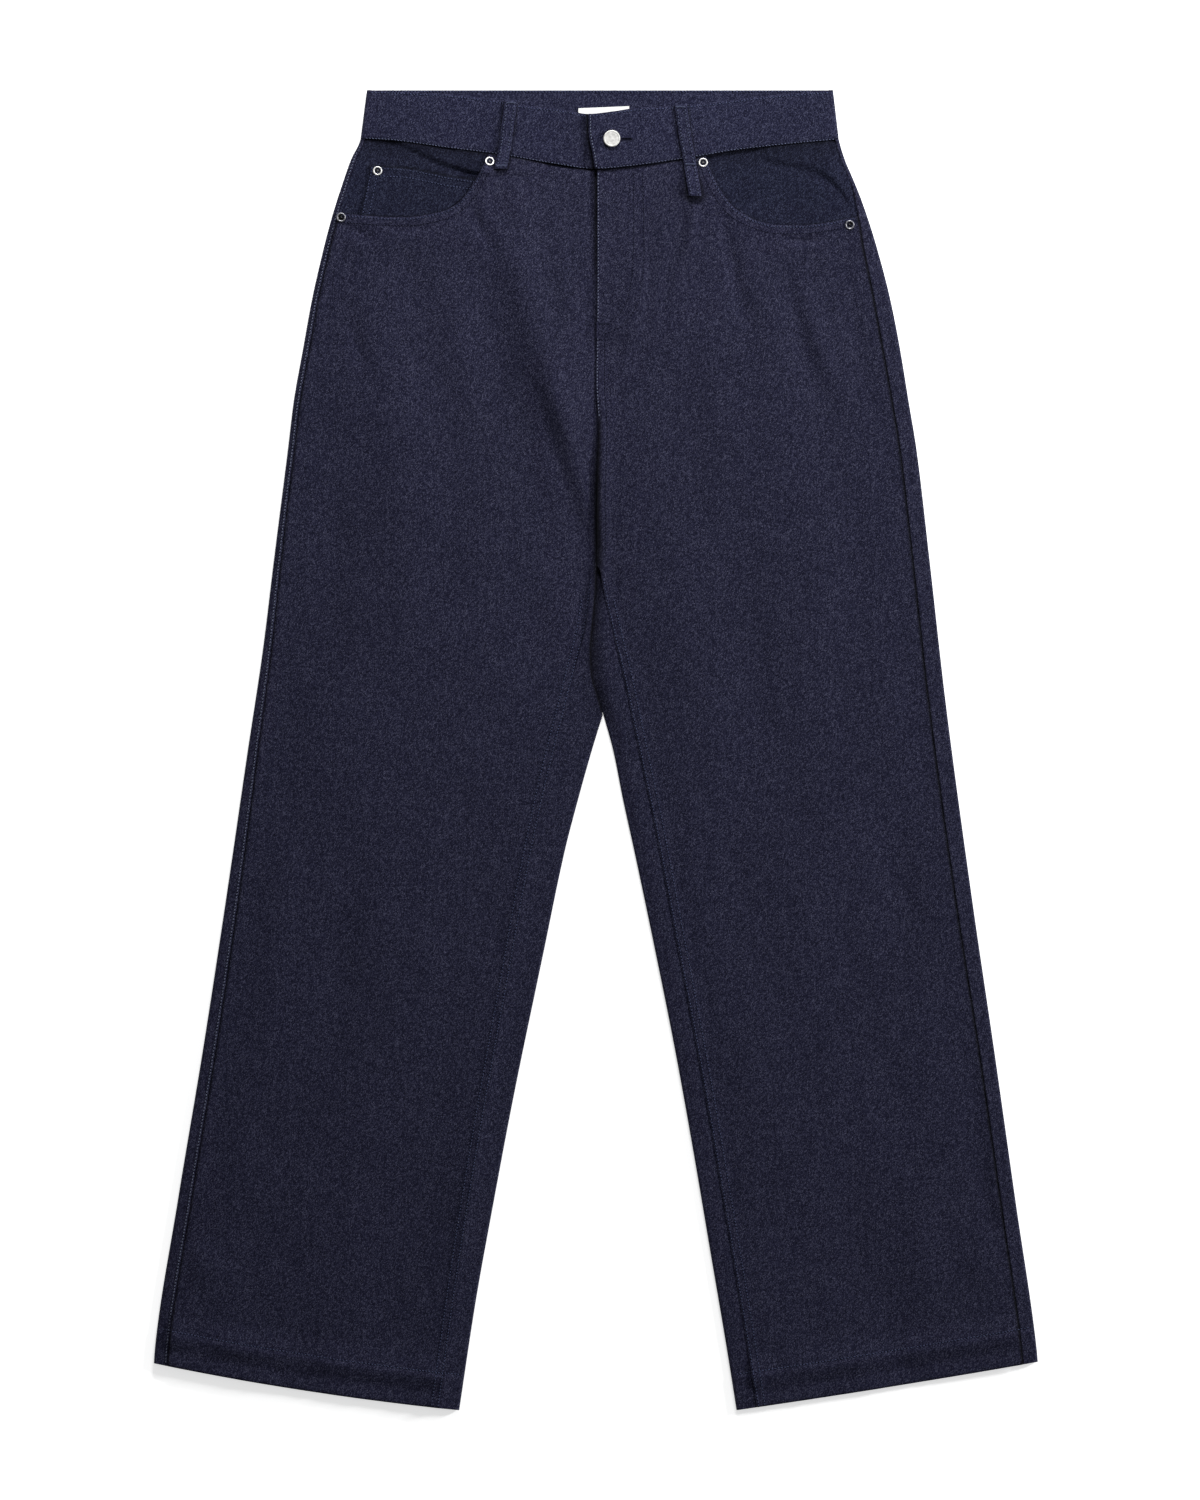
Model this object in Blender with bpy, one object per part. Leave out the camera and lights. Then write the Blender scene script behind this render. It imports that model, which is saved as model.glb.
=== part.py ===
"""Wide leg jeans laid flat, front up, with the waistband towards +Y and the hems towards -Y.

Every cloth piece is a closed wall: a sheet of outer points, the same sheet moved in by the cloth's
thickness, and a rim. Places on the garment are (x, down) in millimetres: x to the viewer's right,
down from the top edge of the waistband. Right and left in names are the wearer's, so the right leg
lies at -X. The backs lie on the ground and wrap round both edges of each leg to the front.
"""

import math

import bpy
import numpy as np

MM = 0.001

# Driving sizes, in millimetres.
LENGTH = 1082.0
CLOTH = 1.2
SEAM_GAP = 0.3
LAP_GAP = 0.5
LEG_LOFT = 4.6
HEM_LOFT = 5.6
HEM_DEPTH = 27.0
BAND_CLOTH = 2.2
BAND_LOFT = 6.0
BAND_LAP = BAND_CLOTH + 0.4
BAND_BACK_DEPTH = 40.0
EDGE_ROUNDING = 0.7
FACING_LOFT = 2.9
FRONT_HIGHEST = 7.4
MOUTH_MARGIN = 11.0
COIN_MARGIN = 7.0
LAYER = CLOTH + LAP_GAP
FLY_END = 176.0
FLY_UNDERLAP = 5.0
WRAP_START = 393.5
APEX = 512.0
YOKE_SIDE = 84.0
YOKE_CENTRE = 120.0
SHARED_ROWS_FROM = 140.0

# Belt loops: x and down along the middle, and height above what lies below.
LOOP_WIDTH = 10.0
LOOP_CLOTH = 1.6
LOOP_RIGHT = ((-69.0, 8.2, 0.4), (-69.5, 10.5, 0.4), (-70.3, 18, 0.6), (-72, 30, 0.8), (-73.6, 42, 0.6),
              (-75.0, 50.5, 0.4), (-75.6, 54.0, 0.5), (-76.4, 58.5, 0.6), (-77.0, 61.5, 0.5), (-77.6, 65, 0.5))
LOOP_LEFT = ((69.6, 11.6, 0.4), (70.0, 14, 0.4), (71.0, 22, 0.6), (72.8, 34, 0.8), (74.8, 46, 0.6),
             (76.2, 53.5, 0.4), (77.0, 58.0, 0.5), (77.8, 62.5, 0.5), (78.4, 66, 0.7), (79.4, 73, 1.7),
             (80.6, 80, 2.9), (81.3, 85, 3.4))

# Round pieces: profiles of (radius, height) from the middle below to the middle above.
RIVET_RADIUS = 4.0
RIVET_STEPS = 16
RIVET_GAP = 0.45
RIVET_PROFILE = ((0, 0), (3.9, 0), (RIVET_RADIUS, 0.35), (3.3, 1.0), (2.6, 1.0), (1.9, 0.45), (1.2, 0.45),
                 (0.8, 1.05), (0, 1.2))
# Side of the body, x and down of each rivet: -1 is the wearer's right.
RIVETS = (
    (-1, -86.7, 58.6),
    (-1, -178.8, 67.4),
    (-1, -207.4, 106.6),
    (1, 88.2, 59.4),
    (1, 208.4, 110.6),
)
BUTTON_SPOT = (13.4, 39.4)
BUTTON_STEPS = 28
BUTTON_PROFILE = ((0, 0), (4.2, 0), (4.2, 0.8), (6.2, 0.9), (6.9, 1.4), (7.0, 2.0), (6.6, 2.6), (6.1, 2.75),
                  (5.6, 2.35), (0, 2.45))

# Label on the inside of the back waistband.
LABEL_LEFT = -14.0
LABEL_RIGHT = 27.5
LABEL_TOP = 12.6
LABEL_BOTTOM = 32.0
LABEL_THICKNESS = 0.9

# Fineness of the meshes: steps of a folded edge, then shares of the width or the depth of a panel.
ARC_STEPS = 4
BOTTOM_SHARES = (0.25, 0.5, 0.75)
MOUTH_SHARES = (0.0, 0.13, 0.3, 0.46, 0.6, 0.71, 0.79, 0.86, 0.91, 0.955)
CENTRE_SHARES = (0.0, 0.14, 0.3, 0.46, 0.62, 0.78, 0.91, 1.0)
TOP_BLEND = (0.0, 0.1, 0.24, 0.42, 0.62, 0.82)
FACING_WAIST_SHARES = (0, 0.14, 0.3, 0.46, 0.62, 0.78, 0.9, 1)
FACING_SIDE_DOWNS = (105, 95, 84, 72, 61, 50)
COIN_SHARES = (0, 0.07, 0.2, 0.34, 0.48, 0.62, 0.74, 0.84, 0.92, 1.0)
POCKET_ROWS = 6
BAND_SHARES = (0.0, 0.06, 0.28, 0.72, 0.94, 1.0)
BAND_FRONT_SHARES = (1.0, 0.965, 0.93, 0.89, 0.83, 0.74, 0.64, 0.54, 0.44, 0.34, 0.24, 0.14, 0.06)
BAND_BACK_SHARES = (0.12, 0.4, 0.7)

# Looks of each material: colour, roughness, metallic.
DENIM = ((0.022, 0.024, 0.052), 0.9, 0.0)
DENIM_BAND = ((0.027, 0.029, 0.058), 0.9, 0.0)
DENIM_FACING = ((0.018, 0.020, 0.044), 0.92, 0.0)
STEEL = ((0.42, 0.42, 0.44), 0.32, 1.0)
BUTTON_METAL = ((0.62, 0.61, 0.58), 0.3, 1.0)
WHITE_TAPE = ((0.80, 0.79, 0.77), 0.8, 0.0)

# Centre line of the front from the waist down to the apex of the gap between the legs: down, x.
SEAT_LINE = ((0, 1.2), (190, 1.2), (240, 0.9), (278, 2.6), (310, 1.4), (345, 0.9), (378, 1.0), (406, 0.4),
             (432, -1.8), (459, -4.0), (478, -3.2), (494, 0.8), (APEX, 6.2))

# Seam between waistband and fronts, and the front waistband's top edge: x, down.
BAND_SEAM = ((-193, 40.2), (-165.6, 41.9), (-121.8, 47.8), (-80.8, 52.9), (-34, 60.9), (0, 65.2),
             (25.8, 63.2), (49.4, 60.2), (88.6, 54.1), (111.9, 50.2), (159.2, 44.7), (200, 41.0))
BAND_TOP = ((-187.4, 0), (-127.5, 2.9), (-78.3, 8.6), (-57.8, 12.6), (-28.3, 15.7), (-5, 19.6), (14.1, 17.7),
            (30.7, 15.2), (63.5, 13.2), (96.3, 10.2), (134.9, 5.3), (194.8, 0))
# Free edge of the waistband's left end, which laps over: down, x.
BAND_END = ((19, -5.7), (32.6, -5.7), (44.4, -4.1), (52.9, -2.2), (66, -0.4))
BAND_UNDER_END = 27.0

# Pocket mouths from the side seam to the waistband: x, down.
MOUTH_RIGHT = ((-214, 101.2), (-190, 102.8), (-172, 104.2), (-155, 104.4), (-143, 103.2), (-132.4, 101.2),
               (-123.4, 98.8), (-113.7, 93.6), (-108, 88), (-101.3, 78.6), (-95.9, 69.6), (-91.4, 61), (-87.3, 52.3))
MOUTH_LEFT = ((90.6, 54.0), (93, 62.5), (97.5, 73), (103.7, 84), (111.1, 94), (120.5, 101.4), (134, 107.6),
              (148, 110.7), (168, 111), (190, 108.6), (205, 105.6), (218, 103.2))
# Top edge of the coin pocket: x, down.
COIN_TOP = ((-184.5, 62.6), (-157, 64.0), (-139, 67.0), (-122, 70.6), (-96, 74.4))

# Depth and half width of the valley beside the centre line, on each side of it: down, value.
RIGHT_VALLEY = ((60, 0.6), (180, 1.0), (255, 1.6), (350, 1.6), (392, 0.0), (APEX, 0.0))
RIGHT_VALLEY_WIDTH = ((60, 9), (220, 14), (300, 26), (392, 20))
LEFT_VALLEY = ((60, 0.0), (215, 0.0), (262, 1.3), (330, 1.6), (490, 1.6), (APEX, 0.3))
LEFT_VALLEY_WIDTH = ((60, 6), (380, 7), (430, 12), (APEX, 12))
LEFT_RIDGE = ((60, 0.0), (215, 0.0), (270, 0.8), (420, 0.7), (480, 0.0))

# Largest folds of the fronts: x and down of the start, middle and end, half width, height.
FOLDS = (
    (-104, 88, -94, 112, -81, 138, 6, -0.9),
    (-76, 86, -54, 180, -14, 300, 11, -1.1),
    (-29, 120, -23, 205, -9, 280, 13, 0.9),
    (-128, 130, -112, 190, -96, 260, 22, 0.7),
    (-157, 118, -154, 136, -150, 156, 8, -0.7),
    (-203, 180, -197, 214, -189, 246, 9, -0.8),
    (-178, 160, -168, 240, -150, 330, 20, 0.6),
    (47, 118, 41, 196, 16, 246, 9, -1.0),
    (67, 86, 64, 150, 48, 210, 8, -0.9),
    (87, 92, 85, 112, 80, 140, 8, 0.7),
    (107, 92, 112, 145, 132, 198, 9, -0.9),
    (86, 170, 96, 240, 110, 320, 18, 0.7),
    (165, 150, 172, 196, 196, 248, 10, -1.0),
    (140, 130, 148, 190, 166, 250, 16, 0.7),
    (-120, 560, -136, 700, -160, 860, 34, 0.5),
    (150, 540, 176, 720, 200, 900, 34, 0.5),
)


def curve(rows, at):
    """The value at a place on the smooth curve through rows of (place, value). It never overshoots."""
    place, value = np.array(rows, float).T
    slope = np.diff(value) / np.diff(place)
    product = slope[:-1] * slope[1:]
    rising = product > 0
    tangent = np.zeros(len(place))
    tangent[0] = slope[0]
    tangent[-1] = slope[-1]
    tangent[1:-1] = np.where(rising, 2 * product / np.where(rising, slope[:-1] + slope[1:], 1), 0)
    at = np.clip(np.asarray(at, float), place[0], place[-1])
    row = np.clip(np.searchsorted(place, at, side="right") - 1, 0, len(place) - 2)
    step = place[row + 1] - place[row]
    s = (at - place[row]) / step
    from_start = value[row] * (1 + 2 * s) + tangent[row] * step * s
    from_end = value[row + 1] * (3 - 2 * s) - tangent[row + 1] * step * (1 - s)
    return from_start * (1 - s) ** 2 + from_end * s ** 2


def ease(start, end, at):
    """0 before start and 1 after end, with a smooth rise between them."""
    s = np.clip((np.asarray(at, float) - start) / (end - start), 0, 1)
    return s * s * (3 - 2 * s)


class Leg:
    """The outline and seams of one leg. side is -1 for the wearer's right leg and 1 for the left."""

    def __init__(self, side, outer, side_wrap, inner, inseam, mouth, hem_outer, hem_bow):
        self.side = side
        self.outer = outer
        self.side_wrap = side_wrap
        self.inner = inner
        self.inseam = inseam
        self.mouth = mouth
        self.hem_outer = hem_outer
        self.hem_bow = hem_bow
        # How much further down a row ends at the inner edge than it starts at the outer edge.
        hem_tilt = LENGTH - hem_outer
        self.tilt = ((40, 25), (250, 16), (506, 6), (700, 12), (940, 30), (hem_outer - 40, hem_tilt),
                     (hem_outer, hem_tilt))

    def tilted(self, outer_down):
        return outer_down + curve(self.tilt, outer_down)

    def inner_x(self, down):
        beside_seat = curve(SEAT_LINE, down) + self.side * SEAM_GAP / 2
        return np.where(down < APEX, beside_seat, curve(self.inner, down))

    def row(self, outer_down, inner_down):
        """Start point, direction and length of the straight row between the two edges."""
        start = np.array([float(curve(self.outer, outer_down)), outer_down])
        end = np.array([float(self.inner_x(inner_down)), inner_down])
        length = float(np.hypot(*(end - start)))
        return start, (end - start) / length, length

    def side_seam_x(self, down):
        return curve(self.outer, down) - self.side * curve(self.side_wrap, down)

    def seam_depth(self, row, inseam):
        """How far in from its edge a row meets the inseam, or else the side seam."""
        start, direction, length = row
        edge = start + direction * length if inseam else start
        inwards = -direction if inseam else direction
        depth = 5.0
        for _ in range(6):
            down = edge[1] + inwards[1] * depth
            seam_x = curve(self.inseam, down) if inseam else self.side_seam_x(down)
            depth = float((seam_x - edge[0]) / inwards[0])
        return depth

    def spot(self, row, depth):
        """(x, down) at a depth from the outer edge along a row; the hem rows bow downwards."""
        start, direction, length = row
        share = np.clip(np.asarray(depth, float) / length, 0, 1)
        bow = self.hem_bow * ease(self.hem_outer - 160, self.hem_outer, start[1]) * 4 * share * (1 - share)
        x = start[0] + direction[0] * depth
        down = start[1] + direction[1] * depth + bow
        return x, down

    def loft(self, outer_down):
        """Height of the closed leg, which is greater at the doubled hem."""
        top_of_hem = self.hem_outer - HEM_DEPTH
        return LEG_LOFT + (HEM_LOFT - LEG_LOFT) * float(ease(top_of_hem - 1.5, top_of_hem, outer_down))

    def thickness(self, outer_down):
        top_of_hem = self.hem_outer - HEM_DEPTH
        return CLOTH * (1 + float(ease(top_of_hem - 1.5, top_of_hem, outer_down)))


RIGHT_LEG = Leg(
    -1,
    outer=((0, -187.4), (39, -192.3), (57, -200.5), (73, -206.2), (104, -216.1), (139, -225.1), (172, -232.5),
           (213, -239.9), (254, -247.2), (295, -252.2), (385, -263.6), (459, -272.7), (541, -285.0),
           (664, -303.0), (787, -321.9), (910, -342.4), (1033, -361.3), (1043.5, -362.0)),
    side_wrap=((40, 3.6), (88, 4.9), (385, 5.3), (470, 6.6), (541, 7.4), (617, 9.0), (849, 9.8), (1043.5, 10.9)),
    inner=((APEX, 6.0), (541, -2.9), (582, -14.4), (623, -25.0), (705, -42.2), (828, -67.7), (910, -83.2),
           (992, -98.0), (LENGTH, -111.7)),
    inseam=((382, 0.9), (403, -2.4), (443, -8.6), (469, -15.2), (500, -22.8), (536, -32.0), (578, -42.0),
            (653, -57.4), (715, -68.4), (834, -90.0), (962, -111.0), (LENGTH, -128.0)),
    mouth=MOUTH_RIGHT,
    hem_outer=1043.5,
    hem_bow=3.4,
)
LEFT_LEG = Leg(
    1,
    outer=((0, 194.8), (24, 196.4), (39, 198.9), (57, 203.8), (73, 210.3), (90, 216.9), (123, 227.6),
           (172, 240.7), (213, 248.9), (254, 255.4), (295, 262.0), (385, 272.7), (500, 285.8), (664, 307.9),
           (787, 325.9), (910, 343.2), (1033, 361.2), (1041.5, 362.0)),
    side_wrap=((40, 3.2), (77, 3.2), (91, 5.6), (114, 8.3), (130, 9.9), (217, 11.7), (268, 10.6), (385, 11.5),
               (574, 12.8), (654, 12.4), (720, 11.2), (790, 10.4), (1041.5, 10.0)),
    inner=((APEX, 6.4), (541, 14.4), (582, 22.6), (623, 31.6), (705, 48.8), (787, 65.2), (869, 80.0),
           (951, 93.9), (1033, 107.8), (LENGTH, 115.6)),
    inseam=((378, 1.6), (410, 6.6), (451, 15.7), (482, 23.2), (520, 31.0), (608, 49.4), (679, 62.7),
            (818, 88.8), (925, 107.0), (1002, 119.8), (LENGTH, 132.6)),
    mouth=MOUTH_LEFT,
    hem_outer=1041.5,
    hem_bow=0.3,
)

# Outer downs of the rows that fronts and backs share below the pockets. The row at 506 ends at the apex.
SHARED_ROWS = (140, 156, 173, 191, 210, 230, 252, 276, 302, 330, 356, 381, 385, 394, 408, 428, 448, 466, 482, 495,
               503, 506, 520, 540, 572, 616, 672, 740, 810, 880, 946)
HEM_ROWS = (-HEM_DEPTH - 1.5, -HEM_DEPTH, 0.0)


def distance_to(rows, x, down):
    """Shortest distance from each (x, down) to a curve given as rows of (x, down)."""
    line_x = np.linspace(rows[0][0], rows[-1][0], 160)
    line_down = curve(rows, line_x)
    gaps = np.hypot(np.asarray(x)[..., None] - line_x, np.asarray(down)[..., None] - line_down)
    return gaps.min(axis=-1)


def fold_relief(x, down):
    """Sum of the ridges and troughs of the table of folds."""
    total = np.zeros_like(x)
    along = np.linspace(0, 1, 24)
    for x0, down0, x1, down1, x2, down2, half_width, height in FOLDS:
        start = (1 - along) ** 2
        middle = 2 * along * (1 - along)
        end = along ** 2
        line_x = start * x0 + middle * x1 + end * x2
        line_down = start * down0 + middle * down1 + end * down2
        gaps = np.hypot(x[..., None] - line_x, down[..., None] - line_down)
        nearest = gaps.argmin(axis=-1)
        swell = np.sin(math.pi * np.clip(along[nearest], 0.08, 0.92)) ** 0.7
        total = total + height * swell * np.exp(-(gaps.min(axis=-1) / half_width) ** 2)
    return total


def centre_relief(side, x, down):
    """The valley along the centre line and the fold edge beside it."""
    away = np.abs(x - curve(SEAT_LINE, down))
    if side < 0:
        return -curve(RIGHT_VALLEY, down) * np.exp(-(away / curve(RIGHT_VALLEY_WIDTH, down)) ** 2)
    valley = -curve(LEFT_VALLEY, down) * np.exp(-(away / curve(LEFT_VALLEY_WIDTH, down)) ** 2)
    return valley + curve(LEFT_RIDGE, down) * np.exp(-((away - 13) / 7) ** 2)


def facing_height(leg, x, down):
    """Outer surface of the pocket facing: it dips between the side seam, the waistband and the mouth."""
    outline = curve(leg.outer, down)
    from_side = np.abs(outline - x) - curve(leg.side_wrap, down)
    from_band = down - curve(BAND_SEAM, x)
    rise = LEG_LOFT - FACING_LOFT
    at_side = rise * (1 - ease(0, 26, from_side))
    at_band = 0.9 * rise * (1 - ease(0, 16, from_band))
    return FACING_LOFT + np.maximum(at_side, at_band)


def coin_share(x, down):
    """1 where the coin pocket lies under the front's edge."""
    below_top = down - curve(COIN_TOP, x)
    return ease(-208, -197, x) * (1 - ease(-89, -80, x)) * ease(-18, -7, below_top)


def front_height(leg, x, down, outer_down, from_side, from_inseam):
    """Outer surface of a front panel."""
    x = np.asarray(x, float)
    down = np.asarray(down, float)
    clear = ease(0, 22, from_side) * ease(0, 14, from_inseam)
    height = leg.loft(outer_down) + fold_relief(x, down) * clear + centre_relief(leg.side, x, down)
    height = height + 0.9 * np.exp(-np.clip(down - curve(BAND_SEAM, x), 0, None) / 12)
    if leg.side > 0:
        over_fly = (1 - ease(48, 80, x)) * (1 - ease(FLY_END + 16, FLY_END + 44, down))
        height = height + LAYER * over_fly
    height = np.clip(height, CLOTH * 2 + SEAM_GAP + 0.1, FRONT_HIGHEST)
    layers = LAYER * (1 + (coin_share(x, down) if leg.side < 0 else 0))
    on_facing = facing_height(leg, x, down) + layers
    beyond = distance_to(leg.mouth, x, down)
    near_mouth = 1 - ease(MOUTH_MARGIN + 4, MOUTH_MARGIN + 44, beyond)
    return height + (np.maximum(on_facing, height) - height) * near_mouth


def mesh_object(name, points, faces, look):
    """An object from points in millimetres as (x, down, z), with its faces turned outwards."""
    points = np.asarray(points, float)
    placed = np.column_stack([points[:, 0], LENGTH / 2 - points[:, 1], points[:, 2]]) * MM
    used = sorted({corner for face in faces for corner in face})
    renumbered = {corner: i for i, corner in enumerate(used)}
    mesh = bpy.data.meshes.new(name)
    mesh.from_pydata(placed[used].tolist(), [], [[renumbered[corner] for corner in face] for face in faces])
    mesh.validate()
    mesh.shade_smooth()
    mesh.set_sharp_from_angle(angle=math.radians(40))
    colour, roughness, metallic = look
    material = bpy.data.materials.new(name)
    material.use_nodes = True
    shader = material.node_tree.nodes["Principled BSDF"]
    shader.inputs["Base Color"].default_value = (*colour, 1.0)
    shader.inputs["Roughness"].default_value = roughness
    shader.inputs["Metallic"].default_value = metallic
    mesh.materials.append(material)
    obj = bpy.data.objects.new(name, mesh)
    bpy.context.scene.collection.objects.link(obj)
    return obj


def wall(name, outer, inner, quads, look):
    """A closed sheet: outer faces, inner faces, and a rim along each open edge."""
    count = len(outer)
    faces = list(quads)
    faces += [tuple(corner + count for corner in reversed(quad)) for quad in quads]
    edges = {edge for quad in quads for edge in zip(quad, quad[1:] + quad[:1])}
    faces += [(b, a, a + count, b + count) for a, b in sorted(edges) if (b, a) not in edges]
    points = np.vstack([outer, inner])
    first = points[list(quads[0])]
    turned = np.cross(first[1] - first[0], first[2] - first[0])
    outward = points[quads[0][0]] - points[quads[0][0] + count]
    # Down runs against Y, so a quad that faces outwards here has its corners the other way round.
    if np.dot(turned, outward) > 0:
        faces = [tuple(reversed(face)) for face in faces]
    return mesh_object(name, points, faces, look)


def grid_quads(rows, columns, keep=None):
    """Quads of a grid numbered row by row. keep(row, column) leaves some out."""
    quads = []
    for row in range(rows - 1):
        for column in range(columns - 1):
            if keep is None or keep(row, column):
                corner = row * columns + column
                quads.append((corner, corner + 1, corner + 1 + columns, corner + columns))
    return quads


def back_row(leg, outer_down, inner_down, folded, wrapped):
    """Outer and inner points of one row of a back, from the side seam round below to the inseam.

    folded says that the row turns up round the inner edge, and wrapped that it has cloth on top there.
    """
    row = leg.row(outer_down, inner_down)
    length = row[2]
    loft = leg.loft(outer_down)
    thick = leg.thickness(outer_down)
    radius = loft / 2
    side_seam = leg.seam_depth(row, inseam=False) - SEAM_GAP / 2
    inseam = leg.seam_depth(row, inseam=True) - SEAM_GAP / 2 if wrapped else 3 * radius
    profile = [(side_seam, loft, 0, 1)]
    for step in range(ARC_STEPS + 1):
        angle = math.pi * (0.5 - step / ARC_STEPS)
        profile.append((radius, radius, -math.cos(angle), math.sin(angle)))
    profile += [(length * share, 0, 0, -1) for share in BOTTOM_SHARES]
    turn = radius if folded else 0.0
    for step in range(ARC_STEPS + 1):
        angle = math.pi * (step / ARC_STEPS - 0.5)
        if folded:
            profile.append((length - radius, radius, math.cos(angle), math.sin(angle)))
        else:
            profile.append((length, 0 if step < ARC_STEPS else loft, 0, -1 if step < ARC_STEPS else 1))
    top_start = length - turn
    top_end = length - max(inseam, turn + 0.4)
    profile.append(((top_start + top_end) / 2, loft, 0, 1))
    profile.append((top_end, loft, 0, 1))
    outer = []
    inner = []
    for place, (depth, height, across, up) in enumerate(profile):
        on_arc = height == radius
        reach = radius if on_arc else 0
        x, down = leg.spot(row, depth + reach * across)
        z = height + reach * up
        inner_x, inner_down_here = leg.spot(row, depth + (reach - thick) * across)
        inner_z = height + (reach - thick) * up
        if place > ARC_STEPS + 1 + len(BOTTOM_SHARES) and up > 0.99:
            relief = float(centre_relief(leg.side, x, down))
            z += relief
            inner_z += relief
        outer.append((x, down, z))
        inner.append((inner_x, inner_down_here, inner_z))
    return outer, inner


def back_shell(name, leg, rows, look):
    """A yoke or a back from its rows of (outer down, inner down)."""
    outer = []
    inner = []
    for outer_down, inner_down in rows:
        folded = inner_down >= APEX - 0.01
        wrapped = inner_down >= WRAP_START
        row_outer, row_inner = back_row(leg, outer_down, inner_down, folded, wrapped)
        outer += row_outer
        inner += row_inner
    columns = len(row_outer)
    fold_from = 1 + ARC_STEPS + len(BOTTOM_SHARES) + 1
    top_from = fold_from + ARC_STEPS

    def keep(row, column):
        inner_down = rows[row][1]
        if column >= top_from:
            return inner_down >= WRAP_START
        if column >= fold_from:
            return inner_down >= APEX - 0.01
        return True

    return wall(name, np.array(outer), np.array(inner), grid_quads(len(rows), columns, keep), look)


def make_backs():
    for leg, word in ((RIGHT_LEG, "right"), (LEFT_LEG, "left")):
        waist = BAND_BACK_DEPTH + SEAM_GAP
        half = SEAM_GAP / 2
        yoke_rows = [(waist, waist)]
        yoke_rows += [(waist + (YOKE_SIDE - waist) * s, waist + (YOKE_CENTRE - waist) * s) for s in (0.35, 0.7)]
        yoke_rows.append((YOKE_SIDE - half, YOKE_CENTRE - half))
        back_shell("yoke_" + word, leg, yoke_rows, DENIM)
        back_rows = [(YOKE_SIDE + half, YOKE_CENTRE + half), (100, 131), (120, 144)]
        back_rows += [(down, float(leg.tilted(down))) for down in SHARED_ROWS]
        back_rows += [(leg.hem_outer + lift, float(leg.tilted(leg.hem_outer + lift))) for lift in HEM_ROWS]
        back_shell("back_" + word, leg, back_rows, DENIM)


def front_span(leg, outer_down):
    """The row at an outer down, and the depths where a front panel starts and ends on it."""
    row = leg.row(outer_down, float(leg.tilted(outer_down)))
    inner_down = row[0][1] + row[1][1] * row[2]
    start = leg.seam_depth(row, inseam=False) + SEAM_GAP / 2
    end = row[2]
    if inner_down > WRAP_START - 4:
        share = float(ease(WRAP_START - 4, WRAP_START, inner_down))
        end = row[2] - share * (leg.seam_depth(row, inseam=True) + SEAM_GAP / 2)
    elif leg.side < 0:
        end = row[2] + FLY_UNDERLAP * (1 - float(ease(FLY_END, FLY_END + 14, inner_down)))
    return row, start, end


def front_spot(leg, outer_down, share):
    row, start, end = front_span(leg, outer_down)
    depth = start + (end - start) * share
    x, down = leg.spot(row, depth)
    return float(x), float(down), depth - start, end - depth


def top_edge(leg, x):
    """Down of a front panel's top edge: the pocket mouth, then the waistband's seam."""
    mouth_end = leg.mouth[-1][0] if leg.side < 0 else leg.mouth[0][0]
    in_mouth = x < mouth_end if leg.side < 0 else x > mouth_end
    return float(curve(leg.mouth, x)) if in_mouth else float(curve(BAND_SEAM, x)) + SEAM_GAP / 2


def first_down(leg, share):
    """Outer down of the row on which a column of the front meets the top edge."""
    low = 20.0
    high = 138.0
    for _ in range(30):
        middle = (low + high) / 2
        x, down, _, _ = front_spot(leg, middle, share)
        if down < top_edge(leg, x):
            low = middle
        else:
            high = middle
    return high


def mouth_end_share(leg):
    """Share of the front's width at which the mouth meets the waistband."""
    corner_x, corner_down = leg.mouth[-1] if leg.side < 0 else leg.mouth[0]
    low = 20.0
    high = 138.0
    share = 0.5
    for _ in range(40):
        middle = (low + high) / 2
        row, start, end = front_span(leg, middle)
        depth = (corner_x - row[0][0]) / row[1][0]
        share = (depth - start) / (end - start)
        if leg.spot(row, depth)[1] < corner_down:
            low = middle
        else:
            high = middle
    return share


def make_fronts():
    for leg, word in ((RIGHT_LEG, "right"), (LEFT_LEG, "left")):
        corner = mouth_end_share(leg)
        shares = [corner * share for share in MOUTH_SHARES]
        shares += [corner + (1 - corner) * share for share in CENTRE_SHARES]
        starts = [first_down(leg, share) for share in shares]
        rows = [[start + (SHARED_ROWS_FROM - start) * blend for start in starts] for blend in TOP_BLEND]
        rows += [[down] * len(shares) for down in SHARED_ROWS]
        rows += [[leg.hem_outer + lift] * len(shares) for lift in HEM_ROWS]
        outer = []
        inner = []
        for row in rows:
            for share, outer_down in zip(shares, row):
                x, down, from_side, from_inner = front_spot(leg, outer_down, share)
                from_inseam = from_inner if down > WRAP_START else from_inner + 20
                z = float(front_height(leg, x, down, outer_down, from_side, from_inseam))
                outer.append((x, down, z))
                inner.append((x, down, z - leg.thickness(outer_down)))
        quads = grid_quads(len(rows), len(shares))
        wall("front_" + word, np.array(outer), np.array(inner), quads, DENIM)


def ruled(upper, lower, steps):
    """Rows of (x, down) between two lists of points of the same length."""
    upper = np.array(upper)
    lower = np.array(lower)
    return [upper + (lower - upper) * step / (steps - 1) for step in range(steps)]


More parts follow.
